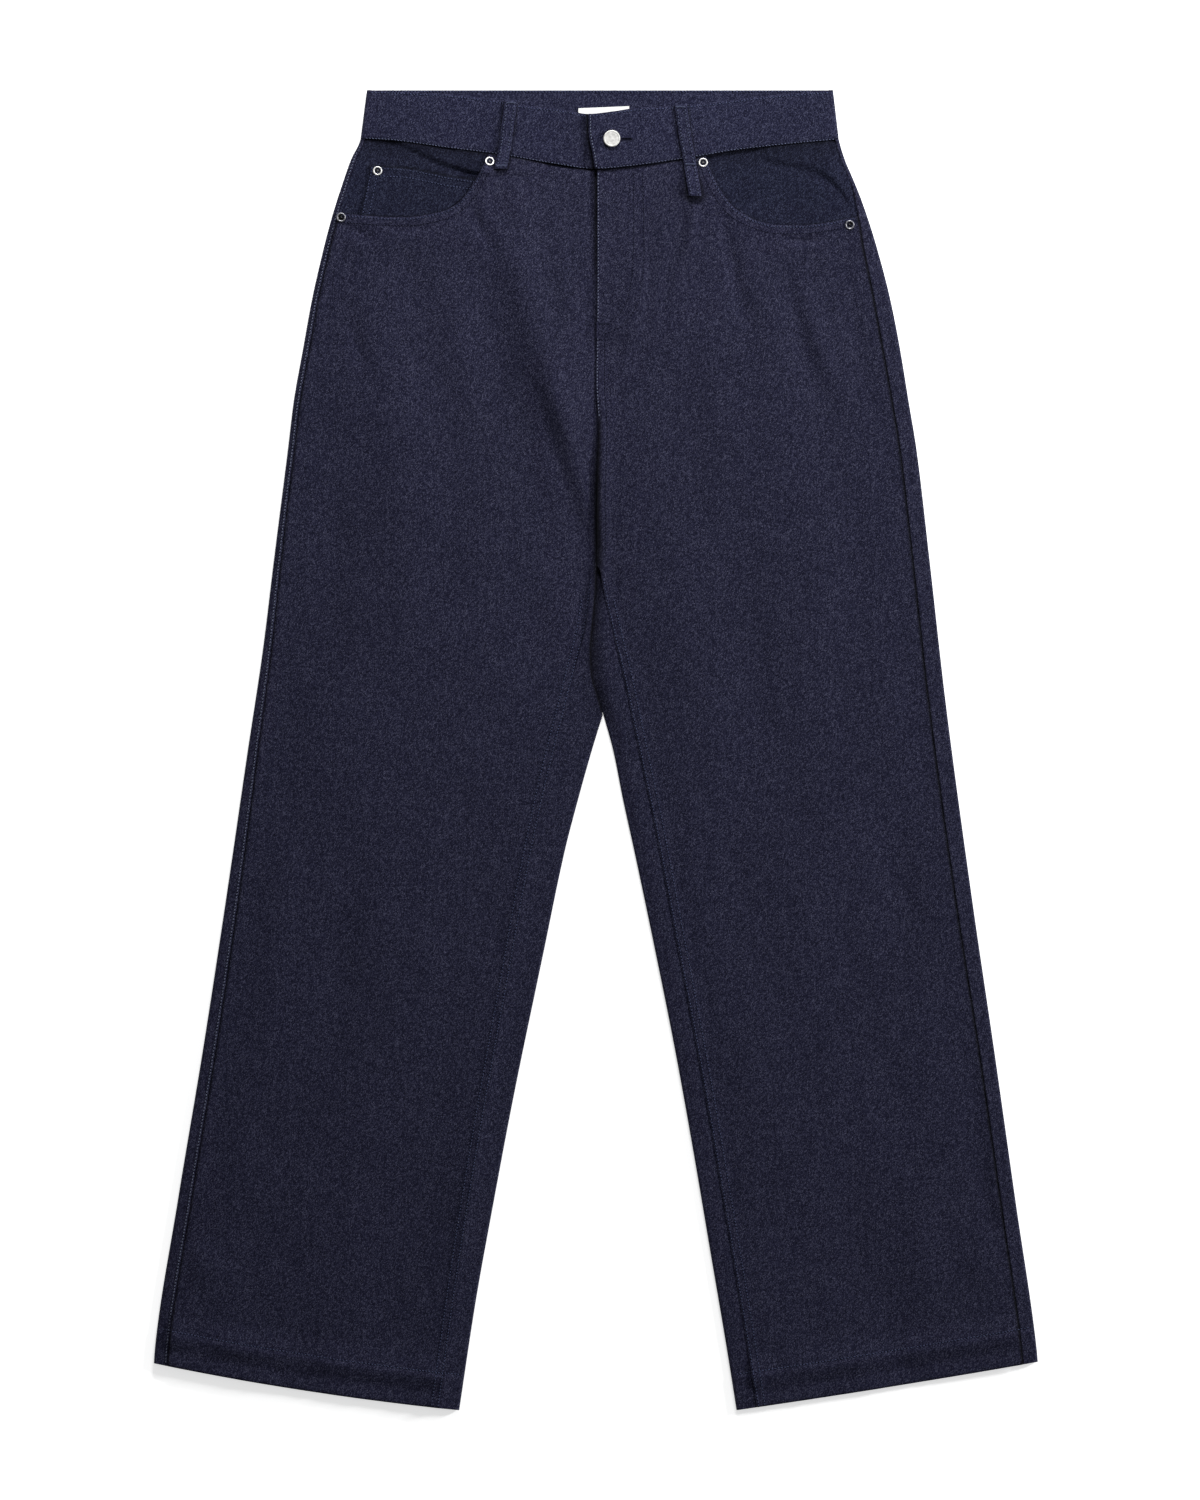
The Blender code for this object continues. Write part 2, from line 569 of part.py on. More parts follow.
def moved_mouth(leg, margin, shares):
    """Points along the pocket mouth, moved by a margin to the side where the front lies."""
    side_x = curve(leg.outer, 104) - leg.side * curve(leg.side_wrap, 104)
    end_x = leg.mouth[-1][0] if leg.side < 0 else leg.mouth[0][0]
    line_x = np.linspace(float(side_x), end_x, 400)
    line_down = curve(leg.mouth, line_x)
    run = np.concatenate([[0], np.cumsum(np.hypot(np.diff(line_x), np.diff(line_down)))])
    points = []
    for share in shares:
        here = np.interp(share * run[-1], run, line_x)
        there = np.interp(share * run[-1], run, line_down)
        ahead_x = np.interp(min(share + 0.02, 1) * run[-1], run, line_x)
        ahead_down = np.interp(min(share + 0.02, 1) * run[-1], run, line_down)
        back_x = np.interp(max(share - 0.02, 0) * run[-1], run, line_x)
        back_down = np.interp(max(share - 0.02, 0) * run[-1], run, line_down)
        tangent = np.array([ahead_x - back_x, ahead_down - back_down])
        tangent /= np.hypot(*tangent)
        normal = np.array([-tangent[1], tangent[0]]) * -leg.side
        points.append((here + normal[0] * margin, there + normal[1] * margin))
    return points


def make_facings():
    """Pocket facings: from the side seam and the waistband to a margin beyond the mouth."""
    for leg, word in ((RIGHT_LEG, "right"), (LEFT_LEG, "left")):
        mouth_end = leg.mouth[-1][0] if leg.side < 0 else leg.mouth[0][0]

        def side_edge(down):
            return float(leg.side_seam_x(down)) - leg.side * SEAM_GAP, float(down)

        def waist_edge(x):
            return x, float(curve(BAND_SEAM, x)) + SEAM_GAP / 2

        corner_x = side_edge(BAND_BACK_DEPTH + SEAM_GAP)[0]
        upper = [side_edge(down) for down in FACING_SIDE_DOWNS]
        inner_x = mouth_end - leg.side * (MOUTH_MARGIN - 1)
        upper += [waist_edge(corner_x + (inner_x - corner_x) * share) for share in FACING_WAIST_SHARES]
        shares = np.linspace(0.0, 0.93, len(upper))
        lower = moved_mouth(leg, MOUTH_MARGIN, shares)
        lower[0] = side_edge(FACING_SIDE_DOWNS[0] + MOUTH_MARGIN - 2)
        outer = []
        inner = []
        rows = ruled(upper, lower, POCKET_ROWS)
        for row in rows:
            for x, down in row:
                z = float(facing_height(leg, x, down))
                outer.append((x, down, z))
                inner.append((x, down, z - CLOTH))
        quads = grid_quads(len(rows), len(upper))
        wall("pocket_facing_" + word, np.array(outer), np.array(inner), quads, DENIM_FACING)


def make_coin_pocket():
    """Coin pocket on the right facing: its lower edge goes under the front, below the mouth."""
    shares = np.array(COIN_SHARES)
    left_x = COIN_TOP[0][0]
    upper_x = left_x + (COIN_TOP[-1][0] - 0.5 - left_x) * shares
    upper = [(x, float(curve(COIN_TOP, x))) for x in upper_x]
    lower = moved_mouth(RIGHT_LEG, COIN_MARGIN, 0.115 + 0.715 * shares)
    outer = []
    inner = []
    for row in ruled(upper, lower, POCKET_ROWS):
        for x, down in row:
            z = float(facing_height(RIGHT_LEG, x, down)) + LAYER
            outer.append((x, down, z))
            inner.append((x, down, z - CLOTH))
    wall("coin_pocket", np.array(outer), np.array(inner), grid_quads(POCKET_ROWS, len(shares)), DENIM)


def band_height(side, x):
    """Outer surface of the front waistband: its left end lies over its right end."""
    rise = BAND_LAP * (1 - ease(38, 78, x)) if side > 0 else 0.0
    return BAND_LOFT + rise


def make_waistband():
    """One doubled band, from its right end at the front round the back to its left end."""
    columns = []
    for side, leg in ((-1, RIGHT_LEG), (1, LEFT_LEG)):
        half = []
        top_x = float(curve(leg.outer, 0))
        bottom_x = float(curve(leg.outer, BAND_BACK_DEPTH))
        radius = BAND_LOFT / 2
        for share in BAND_FRONT_SHARES:
            points = []
            for down_share in BAND_SHARES:
                edge_top = top_x - side * radius
                edge_bottom = bottom_x - side * radius
                side_x = edge_top + (edge_bottom - edge_top) * down_share
                if side < 0:
                    end_x = BAND_UNDER_END
                else:
                    end_top = BAND_END[0][0]
                    end_x = float(curve(BAND_END, end_top + (BAND_END[-1][0] - 1 - end_top) * down_share))
                x = side_x + (end_x - side_x) * share
                high = float(curve(BAND_TOP, x))
                low = float(curve(BAND_SEAM, x)) - SEAM_GAP
                if side < 0:
                    high += float(ease(-3, 4, x))
                    low -= float(ease(-3, 4, x))
                down = high + (low - high) * down_share
                points.append((x, down, float(band_height(side, x)), 0, 1))
            half.append(points)
        for step in range(ARC_STEPS + 1):
            angle = math.pi * (0.5 - step / ARC_STEPS)
            points = []
            for down_share in BAND_SHARES:
                edge_x = top_x + (bottom_x - top_x) * down_share - side * radius
                down = (BAND_BACK_DEPTH - SEAM_GAP * (1 - step / ARC_STEPS)) * down_share
                points.append((edge_x + side * radius * math.cos(angle), down,
                               radius + radius * math.sin(angle), side * math.cos(angle), math.sin(angle)))
            half.append(points)
        for share in BAND_BACK_SHARES:
            points = []
            for down_share in BAND_SHARES:
                edge_x = top_x + (bottom_x - top_x) * down_share - side * radius
                points.append((edge_x * (1 - share), BAND_BACK_DEPTH * down_share, 0.0, 0, -1))
            half.append(points)
        columns += half if side < 0 else half[::-1]
    outer = []
    inner = []
    for column in columns:
        for row, (x, down, z, across, up) in enumerate(column):
            end_row = row in (0, len(BAND_SHARES) - 1)
            inset = EDGE_ROUNDING if end_row and up >= 0.99 else 0.0
            outer.append((x - across * inset, down, z - up * inset))
            reach = BAND_CLOTH - inset
            inner.append((x - across * reach, down, z - up * reach))
    quads = grid_quads(len(columns), len(BAND_SHARES))
    wall("waistband", np.array(outer), np.array(inner), quads, DENIM_BAND)


def make_loops():
    """Belt loops: strips over the waistband, sewn down below it; the left one ends in a loose tail."""
    for word, leg, route in (("right", RIGHT_LEG, LOOP_RIGHT), ("left", LEFT_LEG, LOOP_LEFT)):
        outer = []
        inner = []
        for x, down, lift in route:
            over = []
            for near in (-3.5, -1.5, 0, 1.5, 3.5):
                for across in (-LOOP_WIDTH / 2, 0, LOOP_WIDTH / 2):
                    there = down + near
                    if there < float(curve(BAND_SEAM, x + across)) + 0.6:
                        over.append(float(band_height(leg.side, x + across)))
                    else:
                        over.append(float(front_height(leg, x + across, there, 60.0, 90.0, 90.0)))
            base = max(over) + lift
            crown = (0.0, 0.12, 0.12, 0.0)
            for across, rise in zip((-0.5, -0.36, 0.36, 0.5), crown):
                spot = (x + LOOP_WIDTH * across, down)
                rounded = 0.3 if abs(across) == 0.5 else 0.0
                outer.append((*spot, base + LOOP_CLOTH + rise - rounded))
                inner.append((*spot, base + rounded * 0.5))
        wall("belt_loop_" + word, np.array(outer), np.array(inner), grid_quads(len(route), 4), DENIM_BAND)


def turned(name, profile, x, down, base, steps, look):
    """A round piece from its profile of (radius, height), from the middle below to the middle above."""
    points = [(x, down, base + profile[0][1])]
    rings = profile[1:-1]
    for radius, height in rings:
        for step in range(steps):
            angle = 2 * math.pi * step / steps
            points.append((x + radius * math.cos(angle), down + radius * math.sin(angle), base + height))
    points.append((x, down, base + profile[-1][1]))
    faces = []
    for step in range(steps):
        after = (step + 1) % steps
        faces.append((0, 1 + step, 1 + after))
        for ring in range(len(rings) - 1):
            low = 1 + ring * steps
            high = low + steps
            faces.append((low + step, high + step, high + after, low + after))
        last = 1 + (len(rings) - 1) * steps
        faces.append((last + step, len(points) - 1, last + after))
    return mesh_object(name, points, faces, look)


def surface_under(leg, x, down, radius):
    """Highest point of the cloth under a round piece."""
    heights = []
    for reach in (0, radius * 0.6, radius):
        for step in range(12):
            angle = math.pi * step / 6
            spot_x = x + reach * math.cos(angle)
            spot_down = down + reach * math.sin(angle)
            if spot_down < top_edge(leg, spot_x):
                above = facing_height(leg, spot_x, spot_down)
                on_coin_pocket = leg.side < 0 and spot_x < COIN_TOP[-1][0]
                heights.append(float(above + (LAYER if on_coin_pocket else 0)))
            else:
                from_side = abs(float(curve(leg.outer, spot_down)) - spot_x)
                heights.append(float(front_height(leg, spot_x, spot_down, 60.0, from_side, 90.0)))
    return max(heights)


def make_hardware():
    for number, (side, x, down) in enumerate(RIVETS, start=1):
        leg = RIGHT_LEG if side < 0 else LEFT_LEG
        base = surface_under(leg, x, down, RIVET_RADIUS) + RIVET_GAP
        turned("rivet_%d" % number, RIVET_PROFILE, x, down, base, RIVET_STEPS, STEEL)
    x, down = BUTTON_SPOT
    turned("button", BUTTON_PROFILE, x, down, BAND_LOFT + BAND_LAP + SEAM_GAP, BUTTON_STEPS, BUTTON_METAL)


def make_label():
    """Bare label on the inside of the back waistband, showing above the front's edge."""
    outer = []
    inner = []
    base = BAND_CLOTH + SEAM_GAP
    for down in (LABEL_TOP, (LABEL_TOP + LABEL_BOTTOM) / 2, LABEL_BOTTOM):
        for x in np.linspace(LABEL_LEFT, LABEL_RIGHT, 5):
            outer.append((float(x), down, base + LABEL_THICKNESS))
            inner.append((float(x), down, base))
    wall("label", np.array(outer), np.array(inner), grid_quads(3, 5), WHITE_TAPE)


def main():
    for obj in list(bpy.data.objects):
        bpy.data.objects.remove(obj, do_unlink=True)
    make_backs()
    make_facings()
    make_coin_pocket()
    make_fronts()
    make_waistband()
    make_loops()
    make_hardware()
    make_label()


main()
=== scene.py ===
"""Looks of the wide leg jeans: fine cloth shells on the solids' forms, sewing, metal trim and light.

Places are (x, down) in millimetres, as in part.py: x to the viewer's right, down from the waistband's
top edge. Right and left in names are the wearer's, so the right leg lies at -X. A table of (down,
value) or (x, down) is read with curve(). A fold is x and down of its start, middle and end, then its
half width and its height.
"""

import math
from dataclasses import dataclass

import bpy
import numpy as np
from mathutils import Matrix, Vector
from mathutils.bvhtree import BVHTree


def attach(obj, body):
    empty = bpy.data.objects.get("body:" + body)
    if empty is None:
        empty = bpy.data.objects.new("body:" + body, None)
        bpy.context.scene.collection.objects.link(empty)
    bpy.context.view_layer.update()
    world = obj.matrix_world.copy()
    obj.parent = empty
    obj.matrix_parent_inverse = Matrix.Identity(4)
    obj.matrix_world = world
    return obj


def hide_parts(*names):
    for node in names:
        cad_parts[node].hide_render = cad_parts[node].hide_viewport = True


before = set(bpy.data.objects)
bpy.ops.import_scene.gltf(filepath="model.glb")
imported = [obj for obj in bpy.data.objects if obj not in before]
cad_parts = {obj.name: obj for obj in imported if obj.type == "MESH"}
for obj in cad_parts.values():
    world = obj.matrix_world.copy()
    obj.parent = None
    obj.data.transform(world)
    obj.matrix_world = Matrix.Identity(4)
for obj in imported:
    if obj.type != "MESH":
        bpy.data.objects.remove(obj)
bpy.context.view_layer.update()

MM = 0.001

# Driving sizes, in millimetres, as in part.py.
LENGTH = 1082.0
CLOTH = 1.2
SEAM_GAP = 0.3
LAP_GAP = 0.5
LAYER = CLOTH + LAP_GAP
LEG_LOFT = 4.6
HEM_LOFT = 5.6
HEM_DEPTH = 27.0
BAND_CLOTH = 2.2
BAND_LOFT = 6.0
BAND_LAP = BAND_CLOTH + 0.4
BAND_BACK_DEPTH = 40.0
FACING_LOFT = 2.9
MOUTH_MARGIN = 11.0
COIN_MARGIN = 7.0
FLY_END = 176.0
FLY_UNDERLAP = 5.0
SEAM_UNDERLAP = 2.4
YOKE_SIDE = 84.0
YOKE_CENTRE = 120.0
# Where the back comes round to the front at the crotch, where the front makes room for it, and where
# the legs part.
STRIP_START = 386.0
WRAP_START = 393.5
APEX = 512.0
# From this row down, the panels of a leg have the same rows.
SHARED_FROM = 140.0
# Finer than in part.py: seams that look closed, and a lap at the crotch that leaves no hole.
CLOSED_GAP = 0.06
INSEAM_GAP = 0.12
LEAST_UNDERLAP = 1.6

# Centre line of the front down to the apex of the gap between the legs: down, x.
SEAT_LINE = (
    (0, 1.2), (130, 1.2), (190, 0.9), (240, 0.3), (278, 2.3), (310, 1.4), (345, 0.9), (378, 1.0),
    (406, 0.4), (432, -1.8), (459, -4.0), (478, -3.2), (494, 0.8), (APEX, 6.2),
)
# Edge of the left leg's cloth hidden under the right leg at the crotch: down, x.
UNDER_EDGE = (
    (385, 0.8), (401, -7.6), (418, -11.4), (434, -11.0), (451, -9.0), (467, -5.2), (490, 1.2),
    (508, 5.9),
)
# Waistband: seam to the fronts and top edge as x, down; free end as down, x.
BAND_SEAM = ((-193, 40.2), (-165.6, 41.9), (-121.8, 47.8), (-80.8, 52.9), (-34, 60.9), (0, 65.2),
             (25.8, 63.2), (49.4, 60.2), (88.6, 54.1), (111.9, 50.2), (159.2, 44.7), (200, 41.0))
BAND_TOP = (
    (-187.4, 0), (-127.5, 2.9), (-78.3, 8.6), (-57.8, 12.6), (-28.3, 15.7), (-5, 19.6),
    (14.1, 17.7), (30.7, 15.2), (63.5, 13.2), (96.3, 10.2), (134.9, 5.3), (194.8, 0),
)
BAND_END = ((19, -5.7), (32.6, -5.7), (44.4, -4.1), (52.9, -2.2), (66, -0.4))
BAND_UNDER_END = 27.0
# Pocket mouths and the coin pocket's top edge: x, down.
MOUTH_RIGHT = (
    (-214, 101.2), (-190, 102.8), (-172, 104.2), (-155, 104.4), (-143, 103.2), (-132.4, 101.2),
    (-123.4, 98.8), (-113.7, 93.6), (-108, 88), (-101.3, 78.6), (-95.9, 69.6), (-91.4, 61),
    (-87.3, 52.3),
)
MOUTH_LEFT = (
    (90.6, 54.0), (93, 62.5), (97.5, 73), (103.7, 84), (111.1, 94), (120.5, 101.4), (134, 107.6),
    (148, 110.7), (168, 111), (190, 108.6), (205, 105.6), (218, 103.2),
)
COIN_TOP = ((-184.5, 62.6), (-157, 64.0), (-139, 67.0), (-122, 70.6), (-96, 74.4))

# Valleys and ridge beside the centre line: down, depth or half width.
RIGHT_VALLEY = (
    (60, 1.8), (95, 1.5), (150, 0.9), (210, 1.0), (250, 2.2), (300, 4.2), (350, 4.8), (400, 3.8),
    (440, 1.8), (APEX, 0.0),
)
RIGHT_VALLEY_WIDTH = ((60, 8), (120, 6), (190, 9), (255, 13), (300, 17), (392, 19))
LEFT_VALLEY = ((60, 0.0), (215, 0.0), (262, 0.3), (330, 0.5), (400, 0.9), (470, 1.2), (APEX, 0.3))
LEFT_VALLEY_WIDTH = ((60, 6), (380, 7), (430, 12), (APEX, 12))
LEFT_RIDGE = ((60, 0.0), (200, 0.0), (240, 1.3), (290, 2.7), (390, 2.2), (450, 0.9), (500, 0.0))
# How far the cloth stands up between its seams: down, height.
RIGHT_CROWN = ((60, 0.2), (150, 1.4), (300, 3.0), (480, 3.2), (700, 2.4), (950, 1.6), (1082, 0.6))
LEFT_CROWN = (
    (60, 0.1), (150, 0.5), (300, 1.5), (430, 2.0), (540, 1.6), (680, 0.9), (950, 0.5), (1082, 0.3),
)
# How far the inseam stands up beside the front's cloth: down, height.
RIGHT_INSEAM_RIDGE = ((400, 0.2), (540, 0.8), (680, 2.2), (900, 2.8), (1060, 2.0))
LEFT_INSEAM_RIDGE = ((400, 0.1), (560, 0.2), (1060, 0.3))

# How far the left leg's inner edge rolls down: down, drop.
LEFT_EDGE_DROP = ((490, 0.0), (525, 1.6), (600, 1.6), (700, 0.8), (900, 0.4), (1082, 0.2))

# Folds of the fronts: x and down of the start, middle and end, half width, height.
FOLDS = (
    (-74, 86, -54, 200, -6, 314, 17, 4.6),
    (-104, 140, -84, 230, -50, 330, 20, -2.6),
    (-202, 178, -196, 206, -188, 238, 5, -2.2),
    (-158, 120, -156, 138, -152, 158, 6, -1.6),
    (-178, 160, -168, 240, -150, 330, 24, 2.4),
    (-128, 130, -112, 190, -98, 260, 17, 1.5),
    (-30, 112, -25, 170, -20, 200, 7, 1.6),
    (-42, 225, -18, 286, -2, 372, 7, 2.2),
    (-52, 240, -30, 300, -11, 376, 5, -1.5),
    (-8.5, 138, -7.5, 180, -7.5, 222, 2.6, -0.9),
    (13, 212, 14, 245, 12, 282, 2.4, 1.0),
    (-48, 370, -38, 420, -22, 470, 14, 1.2),
    (-8, 296, -7, 345, -6, 392, 4.5, 1.5),
    (36, 150, 34, 205, 14, 258, 6, 1.4),
    (50, 120, 47, 190, 16, 262, 6, -1.6),
    (45, 108, 44, 150, 41, 192, 4.5, -1.3),
    (82, 84, 80, 110, 76, 140, 5, 3.0),
    (122, 110, 128, 150, 140, 190, 8, 1.2),
    (168, 146, 177, 204, 199, 250, 8, 3.0),
    (157, 148, 166, 204, 188, 250, 6, -1.4),
    (90, 170, 98, 240, 112, 320, 20, 1.8),
    (142, 140, 148, 190, 150, 266, 14, 1.4),
    (36, 240, 50, 300, 58, 390, 30, 2.2),
    (205, 150, 212, 200, 224, 260, 7, -1.6),
    (-120, 560, -136, 700, -160, 860, 34, 1.2),
    (112, 300, 122, 400, 138, 520, 16, -1.0),
    (-148, 330, -150, 430, -156, 520, 18, 1.2),
    (-210, 300, -214, 380, -220, 470, 12, -1.2),
    (210, 330, 214, 410, 224, 500, 12, -1.0),
    (172, 340, 176, 440, 186, 540, 18, 1.0),
    (70, 380, 78, 470, 92, 560, 24, 1.2),
    (-200, 620, -206, 700, -216, 790, 14, -1.0),
    (-250, 600, -258, 680, -266, 760, 12, 1.0),
    (236, 560, 244, 660, 262, 760, 16, -1.0),
    (-116, 700, -124, 760, -132, 830, 12, -1.0),
    (-150, 880, -160, 950, -172, 1010, 22, -0.8),
    (-286, 800, -292, 870, -300, 930, 12, 1.2),
    (196, 900, 206, 960, 214, 1020, 22, -0.8),
    (262, 880, 272, 950, 280, 1010, 18, 1.0),
    (318, 860, 324, 910, 330, 960, 9, -1.8),
    (312, 790, 316, 812, 320, 836, 8, -1.6),
    (296, 590, 299, 612, 302, 636, 8, -1.8),
    (300, 700, 303, 722, 306, 746, 7, -1.2),
    (-336, 940, -322, 965, -300, 985, 14, 1.5),
    (334, 930, 324, 960, 300, 985, 14, 1.6),
)
# Creases that start at the pocket mouths, with the same columns.
MOUTH_CREASES = (
    (-107, 86, -99, 108, -83, 132, 4.5, -2.0),
    (-82, 82, -74, 104, -60, 128, 8, -1.3),
    (-205, 112, -194, 117, -181, 122, 6, -1.8),
    (-168, 112, -150, 114, -134, 112, 5, -1.3),
    (70, 104, 57, 150, 51, 200, 6, -2.4),
    (106, 104, 111, 155, 126, 194, 5, -2.4),
    (157, 123, 170, 125, 184, 123, 3.5, -1.6),
)
# Similar folds on the hidden back, with the same columns.
BACK_FOLDS = (
    (-40, 150, -60, 250, -70, 340, 22, 0.5),
    (-150, 130, -140, 240, -120, 330, 26, 0.5),
    (46, 150, 64, 250, 80, 350, 22, 0.5),
    (160, 140, 150, 240, 132, 330, 26, 0.5),
    (-180, 520, -196, 680, -214, 840, 40, 0.4),
    (170, 520, 190, 690, 210, 860, 40, 0.4),
)


def curve(rows, at):
    """The value at a place on a smooth curve through rows of (place, value). It never overshoots."""
    place, value = np.array(rows, float).T
    slope = np.diff(value) / np.diff(place)
    product = slope[:-1] * slope[1:]
    rising = product > 0
    tangent = np.zeros(len(place))
    tangent[0] = slope[0]
    tangent[-1] = slope[-1]
    tangent[1:-1] = np.where(rising, 2 * product / np.where(rising, slope[:-1] + slope[1:], 1), 0)
    at = np.clip(np.asarray(at, float), place[0], place[-1])
    row = np.clip(np.searchsorted(place, at, side="right") - 1, 0, len(place) - 2)
    step = place[row + 1] - place[row]
    s = (at - place[row]) / step
    from_start = value[row] * (1 + 2 * s) + tangent[row] * step * s
    from_end = value[row + 1] * (3 - 2 * s) - tangent[row + 1] * step * (1 - s)
    return from_start * (1 - s) ** 2 + from_end * s ** 2


def ease(start, end, at):
    """0 before start and 1 after end, with a smooth rise between them."""
    s = np.clip((np.asarray(at, float) - start) / (end - start), 0, 1)
    return s * s * (3 - 2 * s)


def fading(height, reach, away):
    """A height that fades out exponentially away from a seam or an edge."""
    return height * np.exp(-np.maximum(away, 0) / reach)


def swelling(height, reach, away):
    """A height that fades out on both sides as a bell curve."""
    return height * np.exp(-(away / reach) ** 2)


# Each use of the waves has its own seed, and leg.side in it makes the two legs differ.
WAVE_COUNT = 9
GROUND_WAVE_COUNT = 14


def waves(at, shortest, longest, seed):
    """An irregular wave, about -1 to 1, with wavelengths between two lengths, told by its seed."""
    rng = np.random.default_rng(seed)
    total = np.zeros_like(np.asarray(at, float))
    for _ in range(WAVE_COUNT):
        length = rng.uniform(shortest, longest)
        total = total + np.sin(2 * math.pi * (at / length + rng.uniform()))
    return total / math.sqrt(WAVE_COUNT)


def ground_waves(x, down, shortest, longest, seed):
    """The same over a surface, mostly across the legs."""
    rng = np.random.default_rng(seed)
    total = np.zeros_like(np.asarray(x, float))
    for _ in range(GROUND_WAVE_COUNT):
        length = rng.uniform(shortest, longest)
        heading = rng.normal(0, 0.6)
        along = x * math.cos(heading) + down * math.sin(heading)
        total = total + np.sin(2 * math.pi * (along / length + rng.uniform()))
    return total / math.sqrt(GROUND_WAVE_COUNT)


def line_over_x(rows, start, end, count=120):
    """Points (x, down) of a table of (x, down) between two x."""
    x = np.linspace(start, end, count)
    return np.column_stack([x, curve(rows, x)])


def line_over_down(rows, start, end, count=120):
    """Points (x, down) of a table of (down, x) between two downs."""
    down = np.linspace(start, end, count)
    return np.column_stack([curve(rows, down), down])


def run_along(line):
    """Length from the start of a line of (x, down) to each of its points."""
    return np.concatenate([[0], np.cumsum(np.hypot(*np.diff(line, axis=0).T))])


def points_at(line, at):
    """Points of a line of (x, down) at some lengths from its start."""
    run = run_along(line)
    return np.column_stack([np.interp(at, run, line[:, axis]) for axis in (0, 1)])


def resampled(points, count):
    """The same line with evenly spaced points."""
    line = np.asarray(points, float)
    return points_at(line, np.linspace(0, run_along(line)[-1], count))


def right_of(tangent):
    """Unit vectors (x, down) square to some directions, to their right."""
    size = np.maximum(np.hypot(*tangent.T), 1e-9)[:, None]
    return np.column_stack([-tangent[:, 1], tangent[:, 0]]) / size


def offset_line(line, margin):
    """A line of (x, down) moved to the right of its direction, or to the left if margin < 0."""
    return line + right_of(np.gradient(line, axis=0)) * margin


DISTANCE_POINTS = 160


def distance_to_line(line, x, down):
    """Shortest distance from each (x, down) to a line of (x, down) points."""
    nearest = np.full(np.shape(x), np.inf)
    for line_x, line_down in line:
        nearest = np.minimum(nearest, np.hypot(x - line_x, down - line_down))
    return nearest


def distance_to(rows, x, down):
    """Shortest distance from each (x, down) to the curve through a table of (x, down)."""
    line = line_over_x(rows, rows[0][0], rows[-1][0], DISTANCE_POINTS)
    return distance_to_line(line, x, down)


def arch(start, middle, end, along):
    """The bent line from a start to an end that a middle point pulls towards itself."""
    return (1 - along) ** 2 * start + 2 * along * (1 - along) * middle + along ** 2 * end


FOLD_POINTS = 28


def fold_relief(table, x, down):
    """Sum of the ridges and troughs of a table of folds."""
    total = np.zeros_like(x)
    along = np.linspace(0, 1, FOLD_POINTS)
    for x0, down0, x1, down1, x2, down2, half_width, height in table:
        line_x = arch(x0, x1, x2, along)
        line_down = arch(down0, down1, down2, along)
        reach = 3 * half_width
        near = (x > line_x.min() - reach) & (x < line_x.max() + reach)
        near &= (down > line_down.min() - reach) & (down < line_down.max() + reach)
        gaps = np.hypot(x[near][..., None] - line_x, down[near][..., None] - line_down)
        swell = np.sin(math.pi * np.clip(along[gaps.argmin(axis=-1)], 0.08, 0.92)) ** 0.7
        total[near] += swelling(height * swell, half_width, gaps.min(axis=-1))
    return total


# How far up the hem's bow reaches, and half the length of the step onto the turned-up hem.
HEM_BOW_REACH = 160
HEM_STEP = 1.5


@dataclass
class Leg:
    """The outline and seams of one leg. side is -1 for the wearer's right leg and 1 for the left."""

    side: int
    word: str
    outer: tuple
    side_wrap: tuple
    inner: tuple
    inseam: tuple
    mouth: tuple
    hem_outer: float
    hem_bow: float

    def __post_init__(self):
        self.hem_top = self.hem_outer - HEM_DEPTH
        hem_tilt = LENGTH - self.hem_outer
        self.tilt = ((40, 25), (250, 16), (506, 6), (700, 12), (940, 30),
                     (self.hem_outer - 40, hem_tilt), (self.hem_outer, hem_tilt))

    def tilted(self, outer_down):
        """Down of a row's inner end, from that of its outer end."""
        return outer_down + curve(self.tilt, outer_down)

    def inner_x(self, down):
        beside_seat = curve(SEAT_LINE, down) + self.side * SEAM_GAP / 2
        return np.where(down < APEX, beside_seat, curve(self.inner, down))

    def side_seam_x(self, down):
        return curve(self.outer, down) - self.side * curve(self.side_wrap, down)

    def mouth_end(self):
        """The point where the pocket mouth meets the waistband."""
        return self.mouth[-1] if self.side < 0 else self.mouth[0]

    def row(self, outer_down, inner_down=None):
        """Start, direction and length of straight rows between the two edges, as arrays."""
        outer_down = np.asarray(outer_down, float)
        inner_down = self.tilted(outer_down) if inner_down is None else inner_down
        start_x = curve(self.outer, outer_down)
        reach_x = self.inner_x(inner_down) - start_x
        reach_down = inner_down - outer_down
        length = np.hypot(reach_x, reach_down)
        return start_x, outer_down, reach_x / length, reach_down / length, length

    def seam_depth(self, row, inseam):
        """How far in from its edge each row meets the inseam, or else the side seam."""
        start_x, start_down, across, fall, length = row
        edge_x = start_x + across * length if inseam else start_x
        edge_down = start_down + fall * length if inseam else start_down
        turn = -1 if inseam else 1
        depth = np.full_like(start_x, 5.0)
        for _ in range(6):
            down = edge_down + turn * fall * depth
            seam_x = curve(self.inseam, down) if inseam else self.side_seam_x(down)
            depth = (seam_x - edge_x) / (turn * across)
        return depth

    def spot(self, row, depth):
        """(x, down) at a depth from the outer edge along each row; the hem rows bow downwards."""
        start_x, start_down, across, fall, length = row
        share = np.clip(depth / length, 0, 1)
        near_hem = ease(self.hem_outer - HEM_BOW_REACH, self.hem_outer, start_down)
        bow = self.hem_bow * near_hem * 4 * share * (1 - share)
        return start_x + across * depth, start_down + fall * depth + bow

    def in_hem(self, outer_down):
        """1 in the turned-up hem and 0 above it."""
        return ease(self.hem_top - HEM_STEP, self.hem_top + HEM_STEP, outer_down)

    def loft(self, outer_down):
        return LEG_LOFT + (HEM_LOFT - LEG_LOFT) * self.in_hem(outer_down)

    def thickness(self, outer_down):
        return CLOTH * (1 + self.in_hem(outer_down))


